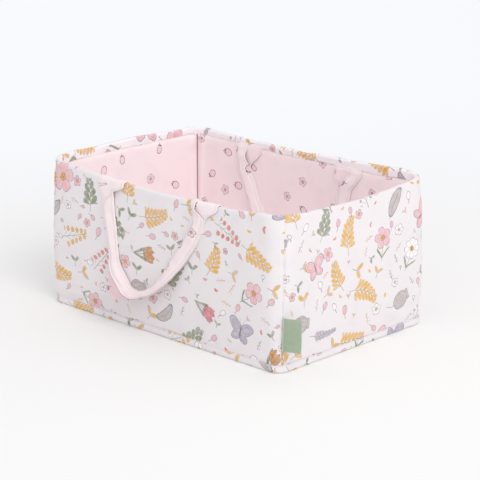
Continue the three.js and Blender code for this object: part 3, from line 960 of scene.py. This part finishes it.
PRINT_CLOTH = cloth_material("print_cloth", wall_print, at_rim)
BINDING_CLOTH = cloth_material("binding_cloth", binding_print, at_binding_fold, BINDING_STITCH_AT)
# The lining's two seam tones are painted shade: a faint darkening beside the corner seams and a dark line in
# their groove
LINING_CLOTH = cloth_material(
    "lining_cloth", plain_lining, at_lining_top,
    seam_shade_tones=(colour(240, 206, 213), colour(144, 82, 92)), wear_and_highlight=0.15,
)
# One cloth for both straps: the front strap's tones are painted darker, as painted shade, and the rear strap's
# painted paler, as painted light. In each, the second tone is painted shade on the back layer and the third
# painted light on its end flaps; the last number sets the pale edge ink, which on the straps is painted
# highlight
FRONT_STRAP_SHADED_CLOTH = strap_cloth(
    "front_strap_shaded_cloth", colour(243, 229, 230), colour(214, 188, 191), colour(248, 235, 236), 0.5,
)
REAR_STRAP_LIT_CLOTH = strap_cloth(
    "rear_strap_lit_cloth", colour(255, 246, 247), colour(253, 236, 238), colour(255, 240, 242), 0.9,
)
LABEL_CLOTH = cloth_material("label_cloth", label_pattern, at_edge, wear_and_highlight=0.15)
STIFFENER_FELT = board_material("stiffener_felt", colour(240, 237, 232), colour(226, 221, 214))
BASE_FIBRE = board_material("base_fibre", colour(198, 178, 148), colour(172, 150, 120))

SIDES = ("front", "right", "rear", "left")
board_looks = {f"stiffener_{side_name}": STIFFENER_FELT for side_name in SIDES}
board_looks["base_board"] = BASE_FIBRE
for node, material in board_looks.items():
    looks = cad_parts[node].data.materials
    looks.clear()
    looks.append(material)


# Outer fabric
RIM_RADIUS = 2.6
OUTER_STEP = 3.4
OUTER_ROWS = 54
OUTER_SLACK = 0.3
CORNER_CREASES = 11
STRAY_CREASES = 8
PRINT_OFFSETS = [(13, 7), (611, 143), (1207, 382), (1811, 59)]

# Rises of the rim over its level line, by station
RIM_RISES = [
    (0, 0), (1.5, 0), (1.8, 3.5), (2.05, 3.8), (2.2, 1.2), (2.3, 0),
    (3, 0.8), (3.25, 2.5), (3.6, 3.5), (3.8, 3), (4, 0),
]


def outer_profile():
    """Depth and height from under the binding, up the wall, over the rim and down inside."""
    wall = [(0, z) for z in np.linspace(BOARD_BOTTOM, HEIGHT - RIM_RADIUS - 1.4, OUTER_ROWS)]
    turn = np.radians(np.linspace(0, 90, 6))
    outer_turn = [(RIM_RADIUS * (1 - math.cos(t)), HEIGHT - RIM_RADIUS * (1 - math.sin(t))) for t in turn]
    inner_turn = [(FACING_IN - depth, z) for depth, z in outer_turn[::-1]]
    facing = [(FACING_IN, z) for z in np.linspace(HEIGHT - RIM_RADIUS - 1, FACING_BOTTOM + 0.8, 4)]
    hem = [(FACING_IN - 0.1, FACING_BOTTOM + 0.1), (FACING_IN - 0.35, FACING_BOTTOM - 0.15)]
    return np.array(wall + outer_turn + inner_turn + facing + hem)


def corner_creases(rng, u, v):
    """Slanting creases near both seams, low on the wall."""
    folds = np.zeros_like(u)
    for _ in range(CORNER_CREASES):
        left = rng.random() < 0.5
        away, up = rng.uniform(6, 60), rng.uniform(13, 44)
        lean = rng.uniform(-12, 24) * (1 if left else -1)
        at = (away if left else u[0, -1] - away, up)
        folds += rng.uniform(0.35, 0.85) * crease(u, v, at, lean, rng.uniform(28, 66), rng.uniform(2.4, 4.2))
    return folds


def outer_panel(side):
    profile = outer_profile()
    up = run_lengths(profile)
    rim_up = up[np.argmax(profile[:, 1])]
    stations, u, v, from_seam = panel_grid(side, OUTER_SEAM_SHARE, OUTER_STEP, up)
    near_seam = -1.15 * hump(from_seam, 0, 1.1) + 0.35 * hump(from_seam, 3.4, 1.6)
    near_seam += gathers(from_seam, v, high=0.28, at=4, reach=5, seed=40 + side, lengths=(9, 15))
    push = swell(u, v, [(0.6, 70, 7, 55, 150), (0.16, 80, 7, 18, 34)], side) + near_seam
    push += gathers(v, u, high=0.55, at=15, reach=7, seed=50 + side, lengths=(13, 30))
    push += gathers(v, u, high=0.3, at=rim_up - 9, reach=7, seed=60 + side, lengths=(14, 32))
    rng = np.random.default_rng(90 + side)
    push += corner_creases(rng, u, v)
    push += stray_creases(
        rng, u, v, STRAY_CREASES, shares=(0.1, 0.9), rises=(30, 150), highs=(0.15, 0.4),
        leans=(-80, 80), lengths=(30, 80), widths=(3, 6),
    )
    push = taut(push, OUTER_SLACK)
    push = np.where(near_seam < -0.3, near_seam + 0.4 * push, push)
    push = push * ease(v, 0, 12) * (1 - 0.45 * ease(v, rim_up, rim_up + 6))
    place = profile[:, None] + headings(profile)[1][:, None] * push[..., None]
    depth, height = place[..., 0], place[..., 1]
    bumps = 0.6 * puckers(u, 110 + side, 40, 120) + 0.2 * puckers(u, 115 + side, 14, 30)
    rises = np.interp(stations % 4, *np.array(RIM_RISES).T)
    height += bumps * ease(v, rim_up - 25, rim_up - 3)
    height += rises * ease(v, rim_up - 60, rim_up - 3) * (1 - ease(v, rim_up + 3, up[-1] - 1))
    height += 0.2 * puckers(u, 120 + side, 10, 20) * ease(v, up[-1] - 4, up[-1])
    return wall_point(stations, depth, height), paired(u, v), paired(from_seam, rim_up - v)


for side, side_name in enumerate(SIDES):
    face, places, edges = outer_panel(side)
    piece = cloth(f"outer_cloth_{side_name}", face, FABRIC, places + PRINT_OFFSETS[side], edges)
    dress(piece, PRINT_CLOTH, [f"outer_{side_name}"])
    places[-1, -1] * MM


# Lining of the walls
LINING_STEP = 4.2
LINING_ROWS = 38
LINING_SLACK = 0.15
LINING_OFFSETS = [(5, 11), (702, 233), (1333, 87), (2045, 411)]


def lining_panel(side):
    low = [LINING_BOTTOM, 5.6, 6.6, 8]
    high = [LINING_TOP - 2.8, LINING_TOP - 1.2, LINING_TOP + 0.1]
    heights = np.concatenate([low, np.linspace(10.5, LINING_TOP - 5, LINING_ROWS), high])
    stations, u, v, from_seam = panel_grid(side, LINING_SEAM_SHARE, LINING_STEP, heights)
    puff = 1.9 * hump(from_seam, 7, 4.6) - 0.95 * hump(from_seam, 0, 1.0)
    puff += gathers(from_seam, v, high=0.5, at=7, reach=6, seed=140 + side, lengths=(14, 34))
    push = swell(u, v, [(0.65, 150, 7, 60, 170), (0.14, 160, 6, 20, 40)], side)
    push += gathers(v, u, high=0.3, at=LINING_TOP - 5, reach=6, seed=170 + side, lengths=(12, 26))
    rng = np.random.default_rng(180 + side)
    push += stray_creases(
        rng, u, v, STRAY_CREASES, shares=(0.04, 0.96), rises=(20, 150), highs=(0.2, 0.55),
        leans=(60, 120), lengths=(40, 110), widths=(4, 8),
    )
    push = taut(push + 0.3, LINING_SLACK) + LINING_SLACK
    push = push * ease(from_seam, 1, 9) + puff
    push *= ease(v, 5, 13) * (1 - ease(v, LINING_TOP - 4, LINING_TOP - 0.5))
    tuck = -0.75 * (1 - ease(v, 5, 8)) - 0.35 * ease(v, LINING_TOP - 2, LINING_TOP)
    face = wall_point(stations, LINING_IN + push + tuck, v)
    return face, paired(u, v - LINING_BOTTOM), paired(from_seam, LINING_TOP - v)


for side, side_name in enumerate(SIDES):
    face, places, edges = lining_panel(side)
    shown = places + LINING_OFFSETS[side]
    piece = cloth(f"lining_cloth_{side_name}", face[:, ::-1], LINING, shown[:, ::-1], edges[:, ::-1])
    dress(piece, LINING_CLOTH, [f"lining_{side_name}"])
    places[-1, -1] * MM


# Base
PLATE_EDGE_STEPS = (0.8, 1.8, 3.2, 5.5)
UNDER_STEP = 6
FLOOR_STEP = 4.5


def plate(name, depth, height_at, step, thickness, offset, upside_down):
    """A rounded rectangle of cloth. height_at gives a height from x, y and the edge's nearness."""
    half_long, half_wide = LENGTH / 2 - depth, WIDTH / 2 - depth
    corner = max(BASE_CORNER - depth, 3)
    y = spaced(2 * half_wide, step, PLATE_EDGE_STEPS) - half_wide
    over = np.clip(np.abs(y) - (half_wide - corner), 0, corner)
    reach = (half_long - corner + np.sqrt(corner**2 - over**2))[:, None]
    xs = reach * (spaced(2 * half_long, step, PLATE_EDGE_STEPS) - half_long) / half_long
    ys = np.broadcast_to(y[:, None], xs.shape)
    from_edge = np.minimum(reach - np.abs(xs), half_wide - np.abs(ys))
    points = settle(np.stack([xs, ys, height_at(xs, ys, from_edge)], axis=-1))
    grids = (points, paired(xs, ys) + offset, paired(from_edge, from_edge))
    points, places, edges = (grid[:, ::-1] if upside_down else grid for grid in grids)
    return cloth(name, points, thickness, places, edges)


def under_height(x, y, from_edge):
    return 0.05 + 0.12 * ease(from_edge, 0, 20) * (1 + waves(x, y, 201, 6, 50, 130)).clip(0, 3)


def floor_height(x, y, from_edge):
    push = 0.5 + swell(x, y, [(0.55, 211, 7, 50, 150), (0.15, 212, 6, 18, 40)])
    return LINING_BOTTOM + LINING - 0.5 + (0.5 + taut(push, 0.2)) * ease(from_edge, 0, 9)


piece = plate("base_cloth_outer", BINDING_UNDER + GAP, under_height, UNDER_STEP, FABRIC, 2500, True)
dress(piece, PRINT_CLOTH, ["base_outer"])

piece = plate("base_cloth_lining", LINING_IN + GAP, floor_height, FLOOR_STEP, LINING, 3100, False)
dress(piece, LINING_CLOTH, ["base_lining"])


# Binding
BINDING_THICKNESS = 1.1
BINDING_STEP = 3.0
BINDING_SLANT = math.radians(45)


def binding_ring():
    fine = np.linspace(0, len(SIDES), len(SIDES) * 600)
    run = run_lengths(wall_point(fine, 0, 4))
    along = np.linspace(0, run[-1], round(run[-1] / BINDING_STEP) + 1)
    stations = np.interp(along, run, fine)[:-1]
    profile = np.array([
        (-0.1, 9.1), (-0.65, 9.2), (-1.15, 8.8), (-1.5, 7.8), (-1.5, 6.9), (-1.85, 5.4), (-2.05, 3.8),
        (-1.95, 2.3), (-1.6, 1.1), (-0.9, 0.35), (0.3, 0.08), (2.5, 0.0), (5, 0.0), (BINDING_UNDER, 0.0),
    ])
    up = run_lengths(profile)
    u, v = np.meshgrid(along[:-1], up)
    closing = 1 - ease(along[:-1], run[-1] - 40, run[-1])
    ripple = (0.22 * puckers(u, 221, 9, 16) + 0.3 * puckers(u, 222, 30, 80)) * closing
    sag = 0.35 * puckers(u, 223, 25, 70) * closing
    depth = profile[:, :1] - np.clip(ripple + 0.15, -0.1, None) * hump(v, 5, 4.5)
    height = profile[:, 1:] + sag * (1 - ease(v, 0, 6))
    return wall_point(stations, depth, height), np.meshgrid(along, up)


face, (u, v) = binding_ring()
cosine, sine = math.cos(BINDING_SLANT), math.sin(BINDING_SLANT)
places = paired(u * cosine - v * sine + 4000, u * sine + v * cosine + 900)
edges = paired(v, u)
piece = cloth("binding_cloth_ring", face[::-1], BINDING_THICKNESS, places[::-1], edges[::-1], ring=True)
dress(piece, BINDING_CLOTH, ["base_binding"])
edges[-1, -1] * MM


# Straps
STRAP_CLOTH = 1.2
SQUARE_REACH = 45
STRAP_EDGE_STEPS = (0.3, 0.7, 1.2)
HANG_STEPS = 250
RIM_STEPS = 16
SMALL_CREASES = 6


def strap_route(handle):
    """The strip's rows: how far along it each one is, its centre line, its depth, and the directions
    across it and off the wall, with the lengths of the part on the rim and of the hanging part."""
    shift, span, top, outward = (handle[key] for key in ("shift", "span", "top", "outward"))
    first, last = shift - span / 2, shift + span / 2
    middle = [(shift + across * span, HEIGHT - down * handle["drop"]) for across, down in handle["route"]]
    hang, hang_length = smooth_path([(first, top), *middle, (last, top)], HANG_STEPS)
    hang_run = np.linspace(0, hang_length, len(hang))
    level = paired(np.where(hang_run < hang_length / 2, 1.0, -1.0), 0 * hang_run)
    squared = ease(np.minimum(hang_run, hang_length - hang_run), 0, SQUARE_REACH)[:, None]
    hang_across = unit(level * (1 - squared) + headings(hang)[1] * squared)

    band, band_length = smooth_path(handle["band"], RIM_STEPS)
    off_band = -outward * headings(band)[1][:-1]
    band_run = np.linspace(0, band_length, len(band))[:-1]
    band = band[:-1]
    count = len(band)

    def joined(before, hanging, after):
        return np.concatenate([before, hanging, after])

    total = 2 * band_length + hang_length
    run = joined(band_run, band_length + hang_run, total - band_run[::-1])[:, None]
    centre_x = joined(np.full(count, first), hang[:, 0], np.full(count, last))[:, None]
    centre_z = joined(band[:, 1], hang[:, 1], band[::-1, 1])[:, None]
    depth = joined(band[:, 0], np.full(len(hang), handle["depth"]), band[::-1, 0])[:, None]
    across = joined(np.tile([1.0, 0.0], (count, 1)), hang_across, np.tile([-1.0, 0.0], (count, 1)))
    normal = joined(off_band, np.tile([-outward, 0.0], (len(hang), 1)), off_band[::-1])
    return run, (centre_x, centre_z), depth, across, normal, (band_length, hang_length)


def strap_widths(handle, share, ends):
    """How far the fold lies from the middle, and the widths of the back and the front layer."""
    spread = HALF_BAND - HALF_STRAP
    fold_edge = free_edge = HALF_STRAP
    for away, end in ends:
        fold_edge += spread * (1 - ease(away, 0, end["fold_reach"]))
        free_edge += spread * (1 - ease(away, 0, end["free_reach"])) ** end["free_curve"]
    back = fold_edge + free_edge
    widest = STRAP_WIDTH - 0.6
    front = np.minimum(*(
        end["front_first"] + (widest - end["front_first"]) * ease(away, *end["front_reach"])
        for away, end in ends
    ))
    for place, reach, back_more, front_less in handle["lobes"]:
        here = hump(share, place, reach)
        back += back_more * here
        front -= front_less * here
    for place, reach, fold_less, free_less in handle["tucks"]:
        here = hump(share, place, reach)
        fold_edge -= fold_less * here
        back -= (fold_less + free_less) * here
        front -= (fold_less + free_less) * here
    return fold_edge, back, front


def front_layer_rise(handle, run, t, share, ends, front, slack, lengths):
    """How far the front layer stands off the back one, with its pockets, ridges and creases."""
    band_length, hang_length = lengths
    inset = np.minimum(t + 1.5, front - t)
    plump = (STRAP_THICKNESS - 2 * STRAP_CLOTH - 0.2) * (0.35 + 0.65 * slack)
    rise = STRAP_CLOTH + 0.2 + plump * ease(inset, 0.8, 7)
    rise += 0.28 * waves(run, t, handle["seed"], 6, 14, 40) * ease(inset, 2, 7) * slack
    for place, reach, high in handle["ridges"]:
        ridge = hump(t / front, 0.62, 0.2) - 0.7 * hump(t / front, 0.2, 0.2)
        rise += high * hump(share, place, reach) * slack * ridge * ease(inset, 0.5, 3)
    for away, end in ends:
        at, reach, high = end["pocket"]
        rise += high * hump(away, at, reach) * ease(t / front, 0.25, 1)
    rng = np.random.default_rng(handle["seed"] + 1)
    for _ in range(SMALL_CREASES):
        at = (rng.uniform(0.15, 0.85) * (2 * band_length + hang_length), rng.uniform(4, 16))
        fold = crease(run, t, at, rng.uniform(-40, 40), rng.uniform(14, 34), rng.uniform(1.3, 2.2))
        rise -= rng.uniform(0.25, 0.6) * fold * ease(inset, 0.5, 4)
    for place, from_fold, lean, length, deep in handle["creases"]:
        fold = crease(run, t, (band_length + place * hang_length, from_fold), lean, length, 1.1)
        rise -= deep * fold * ease(inset, 0, 2.5)
    return np.maximum(rise, STRAP_CLOTH + 0.12)


def strap_mesh(name, handle):
    """A strip folded lengthwise into a back layer on the wall and a front layer over it. Its ends
    spread out flat into the rim's seam. fold_side is 1 where the fold is along the inside of the loop."""
    run, (centre_x, centre_z), depth, across, normal, (band_length, hang_length) = strap_route(handle)
    total = 2 * band_length + hang_length
    share = np.clip((run - band_length) / hang_length, 0, 1)
    ends = [(run - band_length, handle["left"]), (total - band_length - run, handle["right"])]
    fold_edge, back, front = strap_widths(handle, share, ends)
    layer = spaced(STRAP_WIDTH, 0.9, STRAP_EDGE_STEPS) / STRAP_WIDTH
    q = np.concatenate([-layer[::-1], layer[1:]])[None, :]
    t = q * np.where(q < 0, back, front)
    bend = np.minimum(1.1, front * 0.3)
    a = handle["fold_side"] * (fold_edge - np.sqrt(t**2 + bend**2) + bend)
    slack = ease(np.minimum(*(away for away, _ in ends)), -2, 26)
    rise = front_layer_rise(handle, run, t, share, ends, front, slack, (band_length, hang_length))
    lift = 0
    for away, end in ends:
        at, reach, high, flap_side = end["flap"]
        toward = np.clip(flap_side * handle["fold_side"] * a / HALF_STRAP, 0, 2)
        lift += high * hump(away, at, reach) * ease(toward, 0.1, 1.7)
    stand = STRAP_CLOTH / 2 + lift + ease(t, -bend * 1.1, bend * 1.6) * rise

    # The roll away from the wall
    turn = handle["turn_at"](share)
    thick = stand - STRAP_THICKNESS / 2
    aside = a * np.cos(turn) + thick * np.sin(turn) + 0.35 * puckers(run, handle["seed"] + 2, 12, 30) * slack
    stand = STRAP_THICKNESS / 2 + thick * np.cos(turn) + (HALF_STRAP - a) * np.sin(turn)
    x = centre_x + across[:, :1] * aside
    z = centre_z + across[:, 1:] * aside + normal[:, 1:] * stand
    middle_layer = side_point(handle["sign"], x, depth + normal[:, :1] * stand, z)
    face = middle_layer + grid_normals(middle_layer, False) * STRAP_CLOTH / 2

    long_way, from_fold = np.broadcast_arrays(run, t)
    layer_width = np.where(t < 0, back, front)
    places = paired(long_way + 31.0 * handle["seed"], from_fold)
    edges = paired(np.minimum(np.abs(t), layer_width - np.abs(t)), long_way)
    piece = cloth(name, face, STRAP_CLOTH, places, edges, back_share=0.45)
    body = handle["body"]
    dress(piece, handle["cloth"], [body, f"{body}_end_left", f"{body}_end_right"], body=None)
    strip = back + front
    width = strip.max()
    area = (np.diff(run[:, 0]) * (strip[1:, 0] + strip[:-1, 0]) / 2).sum()
    width * MM
    total * MM
    min(area, width * total) * MM**2
    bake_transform(piece)


def front_turn(share):
    away = np.abs(share - ROLL_PLACE_SHARE) / ROLL_REACH_SHARE
    return ROLL_TURN_SHARE * 2 * math.pi * (1 - ease(away, 0, 1))


def no_turn(share):
    return 0 * share


# Each strap's end on the rim, from inside the seam: depth and height
front_band = [
    (LINING_OUT + 0.6, LINING_TOP - 0.6), (INSIDE - 0.3, LINING_TOP - 0.4), (INSIDE, LINING_TOP + 1.6),
    (INSIDE - 0.3, HEIGHT - 2.6), (INSIDE - 1.5, HEIGHT - 0.1), (INSIDE - 3.4, HEIGHT + 0.3),
    (1.2, HEIGHT + 0.2), (OUTSIDE + 0.1, HEIGHT - 1.6), (OUTSIDE, FRONT_STRAP_TOP),
]
rear_band = [
    (LINING_IN - 0.2, LINING_TOP + 1.4), (INSIDE - 0.5, LINING_TOP - 0.8), (INSIDE, LINING_TOP - 2.6),
    (INSIDE, REAR_STRAP_TOP),
]
# Each end: how far down the fold and the free side draw in and how steeply the free side does, where
# the front layer widens, its pocket (place, reach, height) and the flap that stands off (place, reach,
# height, 1 for the fold's side). Along the hanging part, by its share: lobes (place, reach, how much
# wider the back and narrower the front is), tucks (place, reach, how much the fold and the free side
# draw in), ridges (place, reach, height) and creases (place, distance from the fold, lean, length,
# depth).
strap_mesh("front_strap", {
    "sign": -1, "outward": 1, "depth": OUTSIDE, "band": front_band, "top": FRONT_STRAP_TOP,
    "span": FRONT_SPAN, "shift": 0, "drop": FRONT_DROP, "route": FRONT_ROUTE_SHARES,
    "fold_side": 1, "turn_at": front_turn, "seed": 7,
    "left": {"fold_reach": 11, "free_reach": 26, "free_curve": 1.3, "front_first": 1.2, "front_reach": (5, 34),
             "pocket": (27, 7, 1.6), "flap": (9, 8, 3.6, 1)},
    "right": {"fold_reach": 20, "free_reach": 21, "free_curve": 2.2, "front_first": 9, "front_reach": (1, 17),
              "pocket": (6, 7, 2.6), "flap": (9, 7, 2.4, -1)},
    "lobes": [(0.4, 0.048, 9, 3)], "tucks": [(0.28, 0.075, 3.4, 2.2), (0.915, 0.045, 0, 3.6)],
    "ridges": [(0.2, 0.12, 1.6)],
    "creases": [
        (0.44, 6, 3, 60, 0.7), (0.46, 9.5, -4, 56, 0.8), (0.45, 13, 5, 50, 0.8), (0.5, 16, -3, 46, 0.6),
        (0.4, 4, 14, 34, 0.7), (0.53, 11, 6, 44, 0.6), (0.972, 4.2, 6, 9, 4.0), (0.955, 8, 35, 14, 1.2),
    ],
    "cloth": FRONT_STRAP_SHADED_CLOTH, "body": "front_handle", "blend": ((0, -0.1268, 0.1782), (0, -0.1310, 0.1752)),
})
strap_mesh("rear_strap", {
    "sign": 1, "outward": -1, "depth": INSIDE, "band": rear_band, "top": REAR_STRAP_TOP,
    "span": REAR_SPAN, "shift": REAR_SHIFT, "drop": REAR_DROP, "route": REAR_ROUTE_SHARES,
    "fold_side": -1, "turn_at": no_turn, "seed": 23,
    "left": {"fold_reach": 24, "free_reach": 25, "free_curve": 1, "front_first": 18, "front_reach": (4, 26),
             "pocket": (11, 8, 3.2), "flap": (12, 8, 1.4, -1)},
    "right": {"fold_reach": 24, "free_reach": 26, "free_curve": 1, "front_first": 22, "front_reach": (4, 26),
              "pocket": (13, 9, 2.6), "flap": (13, 8, 1.2, -1)},
    "lobes": [], "tucks": [], "ridges": [], "creases": [(0.36, 7, 30, 26, 0.6), (0.62, 12, -24, 24, 0.6)],
    "cloth": REAR_STRAP_LIT_CLOTH, "body": "rear_handle", "blend": ((0, 0.117, 0.1672), (0, 0.117, 0.1632)),
})


# Label
LABEL_REACH = LABEL_WIDTH * 1.1
LABEL_LIFT = 2.0
LABEL_TILT = 1.8
LABEL_ROWS, LABEL_STEPS = 14, 16
RIBBON_THICKNESS = 0.35
HALF_LABEL_FOLD = 0.42


def label_mesh():
    seam = seam_station(0, OUTER_SEAM_SHARE)
    heights = np.linspace(LABEL_BOTTOM, LABEL_BOTTOM + LABEL_HEIGHT, LABEL_ROWS)
    root = wall_point(seam, 0.0, heights)
    out = unit(wall_point(seam, -1.0, 0.0) - wall_point(seam, 0.0, 0.0))
    along = np.array([-out[1], out[0], 0])
    plan, _ = smooth_path(np.array(LABEL_PLAN_SHARES) * LABEL_REACH, LABEL_STEPS)
    heading, sideways = headings(plan)
    tip = plan[-1] + heading[-1] * 0.45
    aside = sideways * HALF_LABEL_FOLD
    route = np.vstack([plan - aside, tip, (plan + aside)[::-1]])
    run = run_lengths(route)
    u, v = np.meshgrid(run, heights - LABEL_BOTTOM)
    from_root = ease(np.minimum(u, run[-1] - u), 0, 20)
    sway = 0.35 * np.sin(v / LABEL_HEIGHT * math.pi * 1.3 + 0.5) * from_root
    points = root[:, None] + out * (route[None, :, :1] + GAP) + along * (route[None, :, 1:] + sway[..., None])
    points[..., 2] += LABEL_LIFT + LABEL_TILT * from_root
    return points, paired(u, v), paired(np.minimum(v, LABEL_HEIGHT - v), u)


points, places, edges = label_mesh()
piece = cloth("label_ribbon", points, RIBBON_THICKNESS, places, edges)
dress(piece, LABEL_CLOTH, ["label_tab"])
places[-1, -1] * MM


# Camera, floor and light
AZIMUTH, ELEVATION = math.radians(44.16), math.radians(16.4)
CAMERA_DISTANCE = 2.297
TARGET = Vector((0.00894, 0, 0.09193))
LENS = 143.55
SENSOR = 36
FLOOR_HALF = 9.0
CLEAR_FROM, CLEAR_TO = 0.2, 0.95
KEY_PLACE, KEY_TARGET = (2.6, -1.0, 2.4), (0, 0, 0.1)
KEY_SIZE, KEY_POWER, KEY_TONE = 2.2, 44, (1, 0.99, 0.98)
SKY_TONE, SKY_STRENGTH = (0.98, 0.962, 0.984, 1), 0.87


def aim(thing, location, target):
    thing.location = location
    thing.rotation_mode = "QUATERNION"
    thing.rotation_quaternion = (Vector(target) - Vector(location)).to_track_quat("-Z", "Y")


lens = bpy.data.cameras.new("camera")
lens.lens = LENS
lens.sensor_width = SENSOR
lens.clip_end = 50
camera = add_object("camera", lens)
level = math.cos(ELEVATION)
back = Vector((math.sin(AZIMUTH) * level, -math.cos(AZIMUTH) * level, math.sin(ELEVATION)))
aim(camera, TARGET + back * CAMERA_DISTANCE, TARGET)
bpy.context.scene.camera = camera


def floor_material():
    """Pale floor that keeps the shadow by the part and turns into a plain pale background further off."""
    material, tree = new_material("floor")
    place = make(tree, "ShaderNodeTexCoord").outputs["Object"]
    x, y, _ = separate(tree, place)
    mottle = noise(tree, place, 1.5, 1.0, "3D")
    tone = blend_colour(tree, mottle * 0.1, colour(244, 245, 243), colour(235, 236, 236))
    look = {"Base Color": tone, "Roughness": 0.9, "Specular IOR Level": 0.1}
    lit = make(tree, "ShaderNodeBsdfPrincipled", look)
    behind = y * 0.72 - x * 0.69
    aside = y * 0.69 + x * 0.72
    pale = blend_colour(tree, (behind * 0.5 + 0.3).clipped(), colour(247, 247, 247), colour(248, 250, 254))
    pale = blend_colour(tree, (aside * 0.5).clipped() * 0.6, pale, colour(243, 244, 248))
    plain = make(tree, "ShaderNodeEmission", {"Color": pale})
    away = (behind * behind + aside * aside).root()
    reach = {"Value": away, "From Min": CLEAR_FROM, "From Max": CLEAR_TO}
    spread = make(tree, "ShaderNodeMapRange", reach, interpolation_type="SMOOTHSTEP")
    rays = make(tree, "ShaderNodeLightPath").outputs
    seen = Value(tree, rays["Is Camera Ray"]) + rays["Is Glossy Ray"] + rays["Is Transmission Ray"]
    share = seen.clipped() * spread.outputs[0]
    show(tree, make(tree, "ShaderNodeMixShader", {0: share, 1: lit.outputs[0], 2: plain.outputs[0]}))
    return material


def floor_mesh():
    mesh = bpy.data.meshes.new("floor")
    corners = [(x * FLOOR_HALF, y * FLOOR_HALF, 0) for x, y in ((-1, -1), (1, -1), (1, 1), (-1, 1))]
    mesh.from_pydata(corners, [], [(0, 1, 2, 3)])
    mesh.materials.append(floor_material())
    add_object("floor", mesh)


def key_light():
    lamp = bpy.data.lights.new("key", "AREA")
    lamp.shape = "DISK"
    lamp.size = KEY_SIZE
    lamp.energy = KEY_POWER
    lamp.color = KEY_TONE
    aim(add_object("key", lamp), KEY_PLACE, KEY_TARGET)


def pale_world():
    world = bpy.data.worlds.new("world")
    world.use_nodes = True
    tree = world.node_tree
    tree.nodes.clear()
    sky = make(tree, "ShaderNodeBackground", {"Color": SKY_TONE, "Strength": SKY_STRENGTH})
    show(tree, sky, "ShaderNodeOutputWorld")
    bpy.context.scene.world = world


floor_mesh()
key_light()
pale_world()
bpy.context.scene.view_settings.view_transform = "Standard"
